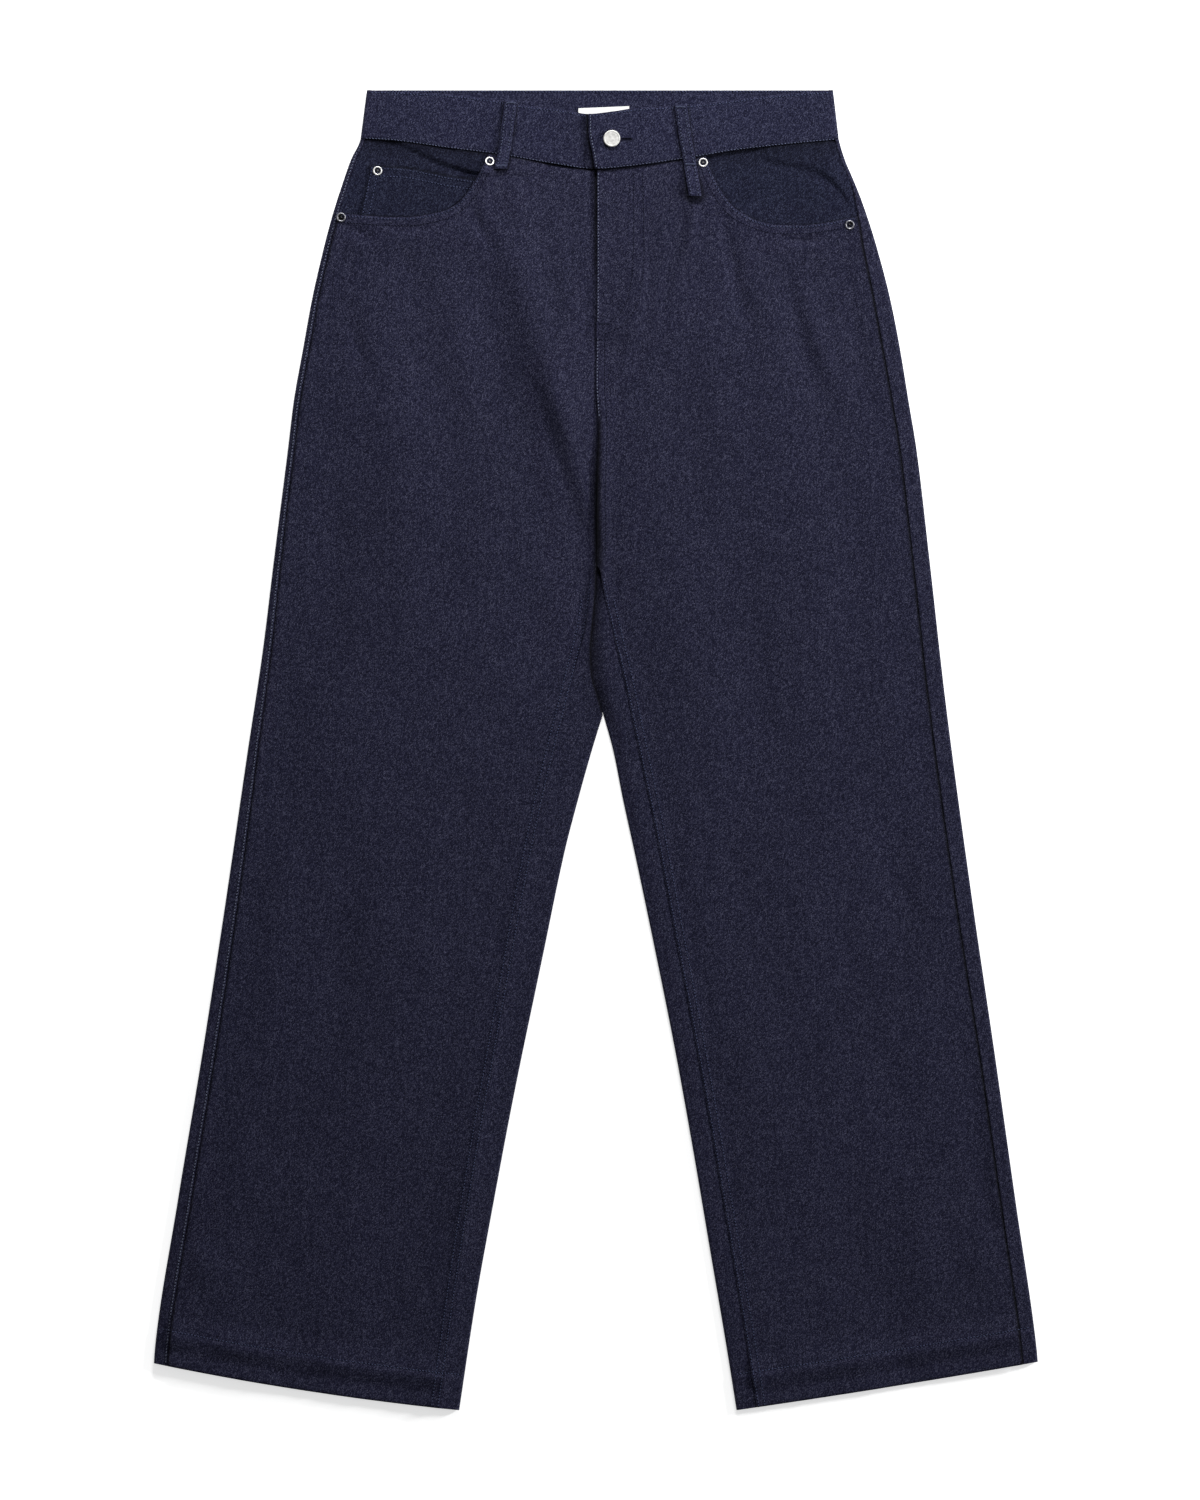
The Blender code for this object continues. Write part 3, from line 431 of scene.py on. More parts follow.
RIGHT_LEG = Leg(
    -1, "right",
    outer=(
        (0, -187.4), (39, -192.3), (57, -200.5), (73, -206.2), (104, -216.1), (139, -225.1),
        (172, -232.5), (213, -239.9), (254, -247.2), (295, -252.2), (385, -263.6), (459, -272.7),
        (541, -285.0), (664, -303.0), (787, -321.9), (910, -342.4), (1033, -361.3),
        (1043.5, -362.0),
    ),
    side_wrap=(
        (40, 3.6), (88, 4.9), (320, 5.2), (385, 5.8), (470, 7.0), (541, 8.2), (617, 9.5),
        (700, 10.2), (870, 10.8), (1043.5, 11.3),
    ),
    inner=(
        (APEX, 6.0), (541, -2.9), (582, -14.4), (623, -25.0), (705, -42.2), (828, -67.7),
        (910, -83.2), (992, -98.0), (LENGTH, -111.7),
    ),
    inseam=(
        (382, 0.9), (403, -2.4), (443, -8.6), (469, -15.2), (500, -22.8), (536, -32.0),
        (578, -42.0), (653, -57.4), (715, -68.4), (834, -90.0), (962, -111.0), (LENGTH, -128.0),
    ),
    mouth=MOUTH_RIGHT,
    hem_outer=1043.5,
    hem_bow=3.4,
)
LEFT_LEG = Leg(
    1, "left",
    outer=(
        (0, 194.8), (24, 196.5), (39, 199.2), (57, 204.5), (73, 211.3), (90, 218.1), (123, 229.0),
        (172, 241.9), (213, 249.9), (254, 256.6), (295, 263.3), (385, 273.9), (500, 286.9),
        (664, 308.9), (787, 326.9), (910, 344.3), (1033, 361.8), (1042.3, 362.6),
    ),
    side_wrap=(
        (40, 3.2), (77, 3.2), (91, 5.8), (114, 8.8), (130, 11.2), (200, 14.0), (268, 13.4),
        (385, 13.6), (574, 13.7), (654, 13.4), (720, 12.9), (790, 12.3), (900, 12.1),
        (1042.3, 12.4),
    ),
    inner=(
        (APEX, 6.4), (541, 14.4), (582, 22.6), (623, 31.6), (705, 48.8), (787, 65.2), (869, 80.0),
        (951, 93.9), (1033, 107.8), (LENGTH, 115.6),
    ),
    inseam=((378, 1.6), (410, 6.6), (451, 15.7), (482, 23.2), (520, 31.0), (608, 49.4), (679, 62.7),
            (818, 88.8), (925, 107.0), (1002, 119.8), (LENGTH, 132.6)),
    mouth=MOUTH_LEFT,
    hem_outer=1042.3,
    hem_bow=1.1,
)
LEGS = (RIGHT_LEG, LEFT_LEG)


# ---------------------------------------------------------------- meshes

def placed(x, down, z):
    """Millimetre places as points of the row frame, in metres."""
    return np.stack(np.broadcast_arrays(x, LENGTH / 2 - np.asarray(down, float), z), -1) * MM


def new_object(name, points, faces, material, sharp=50.0):
    mesh = bpy.data.meshes.new(name)
    mesh.from_pydata(points.tolist(), [], faces)
    mesh.validate()
    mesh.shade_smooth()
    mesh.set_sharp_from_angle(angle=math.radians(sharp))
    mesh.materials.append(material)
    obj = bpy.data.objects.new(name, mesh)
    bpy.context.scene.collection.objects.link(obj)
    return obj


def set_shades(obj, shades):
    """Give each point the share of light that its material multiplies its colour by: painted shade.
    """
    attribute = obj.data.attributes.new("shade", "FLOAT", "POINT")
    attribute.data.foreach_set("value", shades.astype(np.float32))


def grid_normals(points):
    """Unit normals of a grid of points, towards columns crossed with rows."""
    normal = np.cross(np.gradient(points, axis=1), np.gradient(points, axis=0))
    return normal / np.maximum(np.linalg.norm(normal, axis=-1, keepdims=True), 1e-12)


def rim_quads(quads, count):
    """Quads that join the open edges of a sheet of quads to those of its copy, count points on."""
    starts = quads.ravel()
    ends = np.roll(quads, -1, axis=1).ravel()
    forward = starts.astype(np.int64) * count + ends
    backward = ends.astype(np.int64) * count + starts
    rim = ~np.isin(forward, backward)
    a = starts[rim]
    b = ends[rim]
    return np.stack([b, a, a + count, b + count], -1)


def shell(name, points, thickness, material, sign, keep=None, shade=1.0):
    """A closed thin wall behind a grid of outer points. sign turns columns x rows outwards.

    shade is the share of the light that reaches the cloth in folds and under edges, for the material.
    """
    size = points.shape[:2]
    count = size[0] * size[1]
    inwards = -sign * grid_normals(points)
    inner = points + inwards * (np.broadcast_to(thickness, size) * MM)[..., None]
    number = np.arange(count).reshape(size)
    quads = np.stack([number[:-1, :-1], number[:-1, 1:], number[1:, 1:], number[1:, :-1]], -1)
    quads = (quads if keep is None else quads[keep]).reshape(-1, 4)
    if sign < 0:
        quads = quads[:, ::-1]
    faces = np.concatenate([quads, quads[:, ::-1] + count, rim_quads(quads, count)])
    used = np.unique(faces)
    renumbered = np.zeros(2 * count, np.int64)
    renumbered[used] = np.arange(len(used))
    both = np.concatenate([points.reshape(-1, 3), inner.reshape(-1, 3)])[used]
    obj = new_object(name, both, renumbered[faces].tolist(), material)
    set_shades(obj, np.tile(np.broadcast_to(shade, size).ravel(), 2)[used])
    return obj


# ---------------------------------------------------------------- cloth heights

def centre_relief(side, x, down):
    """Valley, and on the left front a ridge, beside the centre line."""
    away = np.abs(x - curve(SEAT_LINE, down))
    if side < 0:
        return -swelling(curve(RIGHT_VALLEY, down), curve(RIGHT_VALLEY_WIDTH, down), away)
    valley = -swelling(curve(LEFT_VALLEY, down), curve(LEFT_VALLEY_WIDTH, down), away)
    return valley + swelling(curve(LEFT_RIDGE, down), 5, away - 3.8)


# Hollows of the pocket facings, as folds.
FACING_HOLLOWS = (
    (104, 101, 126, 90, 150, 79, 7, -1.4),
    (148, 62, 196, 62, 206, 98, 5, -1.2),
    (-130, 61, -112, 66, -97, 71, 3.2, -1.4),
)
# Creases where the facings drop away from the waistband and the side seams: x, down.
RIGHT_CREASE = ((-164, 44.5), (-145, 52), (-126, 61), (-110, 66), (-94, 70))
LEFT_CREASE = ((140, 56.5), (154, 60), (172, 64), (188, 70.5), (199, 79), (208, 92))
CREASE_HEIGHT = 2.1
FACING_BULGE = 1.1
COIN_GAPE = 1.6


def crease_drop(leg, x, down):
    """1 on the waistband's side of a facing's crease and 0 beyond it."""
    if leg.side < 0:
        return (1 - ease(-2.5, 0.5, down - curve(RIGHT_CREASE, x))) * ease(-168, -156, x)
    return (1 - ease(-1.8, 1.8, down - curve(LEFT_CREASE, x))) * ease(128, 150, x)


def facing_height(leg, x, down):
    """Outer surface of a pocket facing."""
    from_side = np.abs(curve(leg.outer, down) - x) - curve(leg.side_wrap, down)
    from_band = down - curve(BAND_SEAM, x)
    base = FACING_LOFT + (LEG_LOFT - FACING_LOFT) * (1 - ease(0, 26, from_side))
    bulge = FACING_BULGE * ease(0, 30, from_side) * ease(2, 22, from_band)
    raised = CREASE_HEIGHT * crease_drop(leg, x, down) * ease(0, 16, from_side)
    return base + bulge + raised + fold_relief(FACING_HOLLOWS, x, down)


def coin_share(x, down):
    """1 where the coin pocket lies under the front's edge."""
    below_top = down - curve(COIN_TOP, x)
    return ease(-208, -197, x) * (1 - ease(-89, -80, x)) * ease(-18, -7, below_top)


def coin_height(x, down):
    """Outer surface of the coin pocket, whose top edge gapes near its right end."""
    gape = ease(-150, -118, x) * fading(1, 7, down - curve(COIN_TOP, x))
    return facing_height(RIGHT_LEG, x, down) + LAYER + COIN_GAPE * gape


def seam_puckers(along, away, seed, reach=7.0, shortest=7.0, longest=15.0):
    """Short ripples that a row of stitches gathers into the cloth beside it."""
    ripple = waves(along, shortest, longest, seed)
    uneven = 0.6 + 0.4 * waves(along, 60, 160, seed + 1)
    return ripple * uneven * fading(1, reach, away)


HEM_CLIMB = 2.1
HEM_CORNER = 1.5
HEM_LIFT = 0.7
HEM_ROPING = 0.26
HEM_END_DROP = 0.9


def hem_relief(leg, x, down, outer_down, from_side):
    """The cloth climbs to the hem's stitches, drops behind them and lifts at the outer corner."""
    top = leg.hem_top
    end = leg.hem_outer
    uneven = 1 + 0.35 * waves(x, 40, 110, 141 + leg.side)
    climb = ease(top - 18, top + 1, outer_down) * (1 - ease(top + 2, top + 16, outer_down))
    towards_edge = HEM_LIFT * ease(top + 14, end - 2, outer_down)
    corner = swelling(HEM_CORNER, 52, from_side) * ease(end - 95, end - 18, outer_down)
    roping = waves(x + 0.8 * down, 11, 28, 81 + leg.side) * ease(top - 2, top + 3, outer_down)
    gathers = waves(x + 0.5 * down, 9, 20, 71 + leg.side) * fading(1, 9, np.abs(outer_down - top))
    end_drop = HEM_END_DROP * ease(end - 1.8, end, outer_down) ** 2
    smooth = HEM_CLIMB * uneven * climb + towards_edge + corner
    return smooth + HEM_ROPING * (roping + gathers) - end_drop


def body_relief(leg, x, down, from_side, from_inseam):
    """Broad forms and folds of a front panel."""
    if leg.side < 0:
        relief = curve(RIGHT_CROWN, down) * ease(0, 70, from_side) * ease(8, 90, from_inseam)
    else:
        relief = curve(LEFT_CROWN, down) * ease(0, 130, from_side) * ease(0, 34, from_inseam)
    folds = fold_relief(FOLDS, x, down) * ease(0, 14, from_side) * ease(0, 14, from_inseam)
    slow = 0.5 * ground_waves(x, down, 60, 170, 11 + leg.side)
    quick = 0.16 * ground_waves(x, down, 18, 55, 171 + leg.side)
    return relief + folds + (slow + quick) * ease(0, 34, from_side) * ease(0, 24, from_inseam)


def seam_relief(leg, down, from_side, from_inseam):
    """Ridges and gathers along the side seam and the felled inseam."""
    side = fading(0.8, 10, from_side) + 0.2 * seam_puckers(down, from_side, 51 + leg.side)
    side = side + 0.4 * seam_puckers(down, from_side, 151 + leg.side, 14.0, 24.0, 70.0)
    ridge = RIGHT_INSEAM_RIDGE if leg.side < 0 else LEFT_INSEAM_RIDGE
    felled = 0.35 * (1 - ease(6.5, 9.5, from_inseam))
    inseam = fading(curve(ridge, down), 21, from_inseam) + felled
    inseam = inseam + 0.26 * seam_puckers(down, from_inseam, 61 + leg.side, 9.0)
    return side + inseam - fading(0.7, 0.9, from_side) - fading(0.25, 0.5, from_inseam)


def fly_rise(x, down):
    """How far the left front is raised by the right front and the fly's turnings under it."""
    under = LAYER * (1 - ease(48, 80, x)) + 0.5 * (1 - ease(37, 43, x))
    return under * (1 - ease(FLY_END + 16, FLY_END + 44, down))


def lapped_drop(x, down):
    """How far the right front dips where the left one lies over it, below the fly."""
    under_left = ease(-1.6, -0.4, x - curve(SEAT_LINE, down)) * ease(FLY_END, FLY_END + 20, down)
    return LAYER * under_left * (1 - ease(382, 392, down))


def front_height(leg, x, down, outer_down, from_side, from_inseam):
    """Outer surface of a front panel."""
    height = leg.loft(outer_down) + centre_relief(leg.side, x, down)
    height = height + body_relief(leg, x, down, from_side, from_inseam)
    from_band = np.maximum(down - curve(BAND_SEAM, x), 0)
    height = height - fading(0.4, 3, from_band)
    if leg.side > 0:
        height = height + fly_rise(x, down)
    height = np.maximum(height, CLOTH * 2 + SEAM_GAP + 0.1)
    below_mouth = distance_to(leg.mouth, x, down)
    near_mouth = 1 - ease(MOUTH_MARGIN + 4, MOUTH_MARGIN + 44, below_mouth)
    on_facing = facing_height(leg, x, down) + LAYER
    if leg.side < 0:
        on_coin = coin_height(x, down) + LAYER
        on_facing = on_facing + coin_share(x, down) * (on_coin - on_facing)
        height = height - lapped_drop(x, down)
    height = height + (np.maximum(on_facing, height) - height) * near_mouth
    height = height + fold_relief(MOUTH_CREASES, x, down) * ease(0, 12, below_mouth)
    along_mouth = np.where(np.abs(x) > 130, x, down)
    height = height + 0.16 * seam_puckers(along_mouth, below_mouth, 31 + leg.side) * near_mouth
    height = height + 0.18 * seam_puckers(x, from_band, 41 + leg.side)
    height = height + hem_relief(leg, x, down, outer_down, from_side)
    return height + seam_relief(leg, down, from_side, from_inseam)


# ---------------------------------------------------------------- shades

# Belt loops: x, down and lift above what lies under them.
LOOP_WIDTH = 10.4
LOOP_RIGHT = (
    (-69.0, 8.2, 0.4), (-69.5, 10.5, 0.4), (-70.3, 18, 0.6), (-72, 30, 0.8), (-73.6, 42, 0.6),
    (-75.0, 50.5, 0.4), (-75.6, 54.0, 0.5), (-76.4, 58.5, 0.6), (-77.0, 61.5, 0.5), (-77.6, 65, 0.5),
)
LOOP_LEFT = (
    (69.6, 11.6, 0.4), (70.0, 14, 0.4), (71.0, 22, 0.6), (72.8, 34, 0.8), (74.8, 46, 0.6),
    (76.2, 53.5, 0.4), (77.0, 58.0, 0.5), (77.8, 62.5, 0.5), (78.4, 66, 0.7), (79.4, 73, 1.7),
    (80.8, 81, 2.9), (81.6, 87, 3.6),
)
# Depth of the painted shade beside the centre line, on either side, and how far that reaches: down,
# value.
RIGHT_GLOOM = (
    (60, 0.95), (130, 0.9), (160, 0.6), (225, 0.4), (270, 0.5), (320, 0.8), (400, 0.95),
    (512, 0.95), (530, 0),
)
RIGHT_GLOOM_REACH = (
    (60, 2.8), (130, 2.4), (170, 1.3), (270, 1.4), (340, 2.8), (390, 1.9), (430, 1.2), (512, 1.1),
)
LEFT_GLOOM = (
    (60, 0), (250, 0), (280, 0.8), (360, 0.92), (400, 0.7), (425, 0.65), (460, 0.5), (500, 0.4),
    (530, 0),
)
LEFT_GLOOM_REACH = (
    (250, 2.0), (300, 2.8), (350, 3.4), (385, 5.0), (430, 4.5), (475, 7.0), (512, 4.0),
)


def gloom(depth, reach, away):
    """Share of light that reaches the cloth beside an edge: 1 - depth at it, 1 away from it."""
    return 1 - swelling(depth, reach, np.maximum(away, 0))


def middle_of(route, down):
    """x of a belt loop's middle at some downs."""
    return curve([(at, x) for x, at, _ in route], down)


def loop_gloom(x, down):
    """Shade beside and under the belt loops."""
    shade = 1.0
    for route, tail in ((LOOP_RIGHT, 0.0), (LOOP_LEFT, 3.0)):
        start = route[0][1]
        end = route[-1][1]
        past_end = np.maximum(np.maximum(start - down, down - end), 0)
        beside = np.maximum(np.abs(x - middle_of(route, down)) - LOOP_WIDTH / 2, 0)
        lifted = tail * ease(66, 88, down)
        shade = shade * gloom(0.72, 1.3 + lifted, np.hypot(beside, past_end))
    return shade


def centre_gloom(leg, x, down):
    """Shade beside the centre line, where one leg laps over the other."""
    away = (x - curve(SEAT_LINE, down)) * leg.side
    if leg.side < 0:
        return gloom(curve(RIGHT_GLOOM, down), curve(RIGHT_GLOOM_REACH, down), away)
    lapped = 0.5 * ease(400, 430, down) * (1 - ease(APEX - 4, APEX + 6, down))
    shade = gloom(curve(LEFT_GLOOM, down), curve(LEFT_GLOOM_REACH, down), away)
    return shade * gloom(lapped, 1.0, away)


def front_gloom(leg, x, down, from_side, from_inseam):
    """Shade of a front beside its seams and under the waistband."""
    beside_seam = gloom(0.88, 0.95, from_side) if leg.side < 0 else gloom(0.96, 1.5, from_side)
    under_band = gloom(0.75, 1.3, down - curve(BAND_SEAM, x))
    shade = centre_gloom(leg, x, down) * beside_seam * under_band
    return shade * loop_gloom(x, down) * gloom(0.1, 0.9, from_inseam)


# ---------------------------------------------------------------- fronts

# Share of the cloth's thickness that its shell has, which keeps it clear of the layer inside.
FRONT_WALL = 0.92
WALL = 0.9
EDGE_OFFSETS = (0.0, 0.35, 0.9, 1.7, 2.8, 4.2, 6.0, 8.0, 10.0, 12.0)
TOP_ROWS = 30
LEG_ROW_STEP = 2.7
HEM_ROW_STEP = 1.5
LAST_ROWS = (1.8, 1.2, 0.7, 0.3, 0.0)
MOUTH_COLUMNS = 34
CENTRE_COLUMNS = 40
# Outer downs between which the front's top edge lies.
TOP_RANGE = (20.0, 138.0)


def hem_rows(leg):
    """Outer downs of the rows at the hem, closer together at its end."""
    even = np.arange(leg.hem_top - 6, leg.hem_outer - 2.2, HEM_ROW_STEP)
    return np.concatenate([even, leg.hem_outer - np.array(LAST_ROWS)])


def front_span(leg, outer_down):
    """Rows at some outer downs, and the depths where the front panel starts and ends on them."""
    row = leg.row(outer_down)
    inner_down = leg.tilted(outer_down)
    start = leg.seam_depth(row, inseam=False) + SEAM_GAP / 2
    share = ease(WRAP_START - 4, WRAP_START, inner_down)
    end = row[4] - share * (leg.seam_depth(row, inseam=True) + INSEAM_GAP / 2)
    if leg.side < 0:
        in_fly = 1 - ease(FLY_END, FLY_END + 14, inner_down)
        above_crotch = 1 - ease(380, 393, inner_down)
        end = end + (SEAM_UNDERLAP + (FLY_UNDERLAP - SEAM_UNDERLAP) * in_fly) * above_crotch
    return row, start, end


def front_spot(leg, outer_down, share):
    """(x, down) at a share of the front's width, and how far that is from its two edges."""
    row, start, end = front_span(leg, outer_down)
    depth = start + (end - start) * share
    x, down = leg.spot(row, depth)
    return x, down, depth - start, end - depth


def top_edge(leg, x):
    """Down of a front panel's top edge: the pocket mouth, then the waistband's seam."""
    mouth_end = leg.mouth_end()[0]
    in_mouth = x < mouth_end if leg.side < 0 else x > mouth_end
    under_band = ease(-3.5, 3, x) if leg.side < 0 else 0.0
    return np.where(in_mouth, curve(leg.mouth, x), curve(BAND_SEAM, x) + SEAM_GAP / 2 - under_band)


def first_down(leg, shares):
    """Outer down of the row on which each column of the front meets the top edge."""
    low, high = (np.full(len(shares), limit) for limit in TOP_RANGE)
    for _ in range(32):
        middle = (low + high) / 2
        x, down, _, _ = front_spot(leg, middle, shares)
        above = down < top_edge(leg, x)
        low = np.where(above, middle, low)
        high = np.where(above, high, middle)
    return high


def mouth_end_share(leg):
    """Share of the front's width at which the mouth meets the waistband."""
    corner_x, corner_down = leg.mouth_end()
    row, start, end = front_span(leg, np.linspace(*TOP_RANGE, 2400))
    depth = (corner_x - row[0]) / row[2]
    best = np.abs(leg.spot(row, depth)[1] - corner_down).argmin()
    return float((depth[best] - start[best]) / (end[best] - start[best]))


def eased_shares(count, start_power, end_power):
    """Shares from 0 to 1, closer together at the ends the larger the powers."""
    t = np.linspace(0, 1, count)
    return t ** start_power * (1 - t) + (1 - (1 - t) ** end_power) * t


def front_rows(leg, shares):
    """Outer down of each point of the front: along its top edge first, then in shared rows."""
    rows = [first_down(leg, shares) + offset for offset in EDGE_OFFSETS]
    last_slanted = rows[-1]
    for blend in np.linspace(0, 1, TOP_ROWS + 1)[1:-1] ** 1.15:
        rows.append(last_slanted * (1 - blend) + SHARED_FROM * blend)
    shared = np.concatenate([np.arange(SHARED_FROM, leg.hem_top - 6, LEG_ROW_STEP), hem_rows(leg)])
    return np.array(rows + [np.full(len(shares), down) for down in shared])


def make_front(leg, material):
    corner = mouth_end_share(leg)
    mouth_shares = corner * eased_shares(MOUTH_COLUMNS, 1.5, 1.3)[:-1]
    centre_shares = corner + (1 - corner) * eased_shares(CENTRE_COLUMNS, 1.2, 1.5)
    shares = np.concatenate([mouth_shares, centre_shares])
    outer_down = front_rows(leg, shares)
    x, down, from_side, from_inner = front_spot(leg, outer_down, shares[None, :])
    inseam = line_over_down(leg.inseam, leg.inseam[0][0], LENGTH, 220)
    from_line = distance_to_line(inseam, x, down)
    from_inseam = np.where(down > WRAP_START + 4, from_inner, np.maximum(from_line, from_inner))
    z = front_height(leg, x, down, outer_down, from_side, from_inseam)
    edge_rows = slice(0, len(EDGE_OFFSETS))
    z[edge_rows] -= fading(0.45, 0.6, np.abs(down - top_edge(leg, x))[edge_rows])
    thickness = leg.thickness(outer_down) * FRONT_WALL
    shade = front_gloom(leg, x, down, from_side, from_inseam)
    points = placed(x, down, z)
    return shell("front_%s_cloth" % leg.word, points, thickness, material, leg.side, shade=shade)


# ---------------------------------------------------------------- backs and yokes

ARC_STEPS = 8
SIDE_STRIP = (0.0, 0.06, 0.14, 0.28, 0.46, 0.66, 0.84)
INSEAM_STRIP = (0.0, 0.16, 0.34, 0.52, 0.66, 0.78, 0.87, 0.93, 0.965, 0.985, 1.0)
BOTTOM_COLUMNS = 22
APEX_ROW = 506.0
ROWS_ABOVE_APEX = 136


def side_strip_height(leg, down, outer_down, from_seam):
    """Outer surface of a back where it lies on top, between its fold and the side seam."""
    height = leg.loft(outer_down) + 0.16 * seam_puckers(down, from_seam, 91 + leg.side)
    return height + (fading(0.8, 3.5, from_seam) - fading(0.35, 0.5, from_seam))


def inseam_strip_height(leg, x, down, outer_down, from_seam):
    """Outer surface of a back where it lies on top, between the inseam and its fold."""
    height = leg.loft(outer_down) + 0.16 * seam_puckers(down, from_seam, 91 + leg.side)
    edge_x = np.where(down < APEX, curve(SEAT_LINE, down), curve(leg.inner, down))
    from_edge = (x - edge_x) * leg.side
    above_apex = 1 - ease(APEX - 12, APEX + 26, down)
    if leg.side < 0:
        height = height + fading(curve(RIGHT_INSEAM_RIDGE, down), 5, from_seam)
        raised = fading(1.7, 7, from_edge) - fading(0.6, 0.5, from_edge)
        return height + raised * above_apex - fading(0.25, 1.0, from_seam)
    height = height - 3.0 * (1 - ease(-3, 12, from_edge)) * above_apex
    height = height - curve(LEFT_EDGE_DROP, down) * (1 - ease(0, 10, from_edge))
    return height - fading(0.3, 1.6, from_seam) * ease(0, 1.2, from_edge)


def arc_angles(first):
    """Angles round a fold, from a quarter turn above or below its middle to the other side."""
    return [first - 2 * first * step / ARC_STEPS for step in range(ARC_STEPS + 1)]


def side_columns(leg, row, outer_down, radius):
    """The strip from the side seam to the fold at the outer edge, and that fold."""
    side_seam = leg.seam_depth(row, inseam=False) - SEAM_GAP / 2
    columns = []
    for share in SIDE_STRIP:
        depth = side_seam + (np.minimum(radius, side_seam - 0.2) - side_seam) * share
        x, down = leg.spot(row, depth)
        columns.append((x, down, side_strip_height(leg, down, outer_down, side_seam - depth)))
    for angle in arc_angles(math.pi / 2):
        x, down = leg.spot(row, radius - radius * math.cos(angle))
        columns.append((x, down, radius + radius * math.sin(angle)))
    return columns


def bottom_columns(leg, row, radius):
    """The underside, between the two folds."""
    columns = []
    for share in np.linspace(0, 1, BOTTOM_COLUMNS + 2)[1:-1]:
        x, down = leg.spot(row, radius + (row[4] - 2 * radius) * share)
        columns.append((x, down, fold_relief(BACK_FOLDS, x, down)))
    return columns


def inseam_columns(leg, row, outer_down, inner_down, radius, lap):
    """The fold at the inner edge and the strip from it to the inseam."""
    length = row[4]
    loft = leg.loft(outer_down)
    folded = inner_down >= APEX
    wrapped = inner_down >= STRIP_START
    inseam = np.where(wrapped, leg.seam_depth(row, inseam=True) - INSEAM_GAP / 2, 3 * radius)
    seam_at = length - inseam
    columns = []
    for step, angle in enumerate(arc_angles(-math.pi / 2)):
        depth = np.where(folded, length - radius + radius * math.cos(angle), length)
        x, down = leg.spot(row, depth)
        rolled = inseam_strip_height(leg, x, down, outer_down, depth - seam_at) - loft
        arc_z = (radius + radius * math.sin(angle)) * (1 + rolled / loft)
        flat_z = 0.0 if step < ARC_STEPS else loft + rolled
        columns.append((x, down, np.where(folded, arc_z, flat_z)))
    edge = length - np.where(folded, radius, 0.0)
    if lap is not None:
        reach = (row[0] + row[2] * length - curve(lap, inner_down)) * leg.side
        edge = np.where(folded, edge, length + np.maximum(reach, LEAST_UNDERLAP))
    for share in INSEAM_STRIP[::-1]:
        depth = seam_at + (edge - seam_at) * share
        x, down = leg.spot(row, depth)
        height = inseam_strip_height(leg, x, down, outer_down, depth - seam_at)
        columns.append((x, down, height))
    return columns


def kept_quads(inner_down, columns, fold_from):
    """Which quads of a back there are: the inner fold and its strip start lower than the rest."""
    top_from = fold_from + ARC_STEPS
    number = np.arange(columns - 1)[None, :]
    row_folds = inner_down[1:, None] >= APEX
    strip_there = inner_down[:-1, None] >= STRIP_START
    below = np.where(number >= fold_from, row_folds, True)
    joins_strip = (number == top_from) & ~row_folds
    return np.where(number >= top_from, strip_there, below) & ~joins_strip


def back_grid(leg, outer_down, inner_down, lap):
    """Outer points of a back or a yoke: side strip, fold, underside, fold and inseam strip."""
    row = leg.row(outer_down, inner_down)
    radius = leg.loft(outer_down) / 2
    columns = side_columns(leg, row, outer_down, radius) + bottom_columns(leg, row, radius)
    fold_from = len(columns)
    columns += inseam_columns(leg, row, outer_down, inner_down, radius, lap)
    x, down, z = (np.array(part).T for part in zip(*columns))
    shade = np.where(z > 1.0, centre_gloom(leg, x, down), 1.0)
    if leg.side > 0:
        strip = slice(0, len(SIDE_STRIP))
        shade[:, strip] *= gloom(0.7, 0.8, x[:, strip] - leg.side_seam_x(down[:, strip]))
    return placed(x, down, z), kept_quads(inner_down, len(columns), fold_from), shade


def make_back(leg, material):
    half = CLOSED_GAP / 2
    slanted = np.linspace(0, 1, 18)[:-1]
    outer_top = YOKE_SIDE + half + (SHARED_FROM - YOKE_SIDE - half) * slanted
    inner_end = float(leg.tilted(SHARED_FROM))
    inner_top = YOKE_CENTRE + half + (inner_end - YOKE_CENTRE - half) * slanted
    upper = np.linspace(SHARED_FROM, APEX_ROW, ROWS_ABOVE_APEX)
    lower = np.arange(APEX_ROW + LEG_ROW_STEP, leg.hem_top - 6, LEG_ROW_STEP)
    shared = np.concatenate([upper, lower, hem_rows(leg)])
    inner_shared = leg.tilted(shared)
    inner_shared[len(upper) - 1] = APEX
    outer_down = np.concatenate([outer_top, shared])
    inner_down = np.concatenate([inner_top, inner_shared])
    lap = UNDER_EDGE if leg.side > 0 else None
    points, keep, shade = back_grid(leg, outer_down, inner_down, lap)
    thickness = (leg.thickness(outer_down) * WALL)[:, None]
    return shell("back_%s_cloth" % leg.word, points, thickness, material, -leg.side, keep, shade)


def make_yoke(leg, material):
    share = np.linspace(0, 1, 20)
    waist = BAND_BACK_DEPTH + CLOSED_GAP
    outer_down, inner_down = (waist + (seam - CLOSED_GAP / 2 - waist) * share
                              for seam in (YOKE_SIDE, YOKE_CENTRE))
    points, keep, _ = back_grid(leg, outer_down, inner_down, None)
    return shell("yoke_%s_cloth" % leg.word, points, CLOTH * WALL, material, -leg.side, keep)


# ---------------------------------------------------------------- pockets

# Where the mouths meet the side seams, and how far the facings reach along them.
MOUTH_SIDE_DOWN = 104
FACING_REACH = 0.93
FACING_SIDE_DOWNS = (105, 100, 95, 90, 84, 78, 72, 66, 61, 55, 50)
FACING_COLUMNS = 74
FACING_ROWS = 34
# The coin pocket's part of the mouth, and how far its left edge slants out per millimetre down.
COIN_REACH = (0.115, 0.83)
COIN_SLANT = 0.21
COIN_COLUMNS = 60
COIN_ROWS = 26


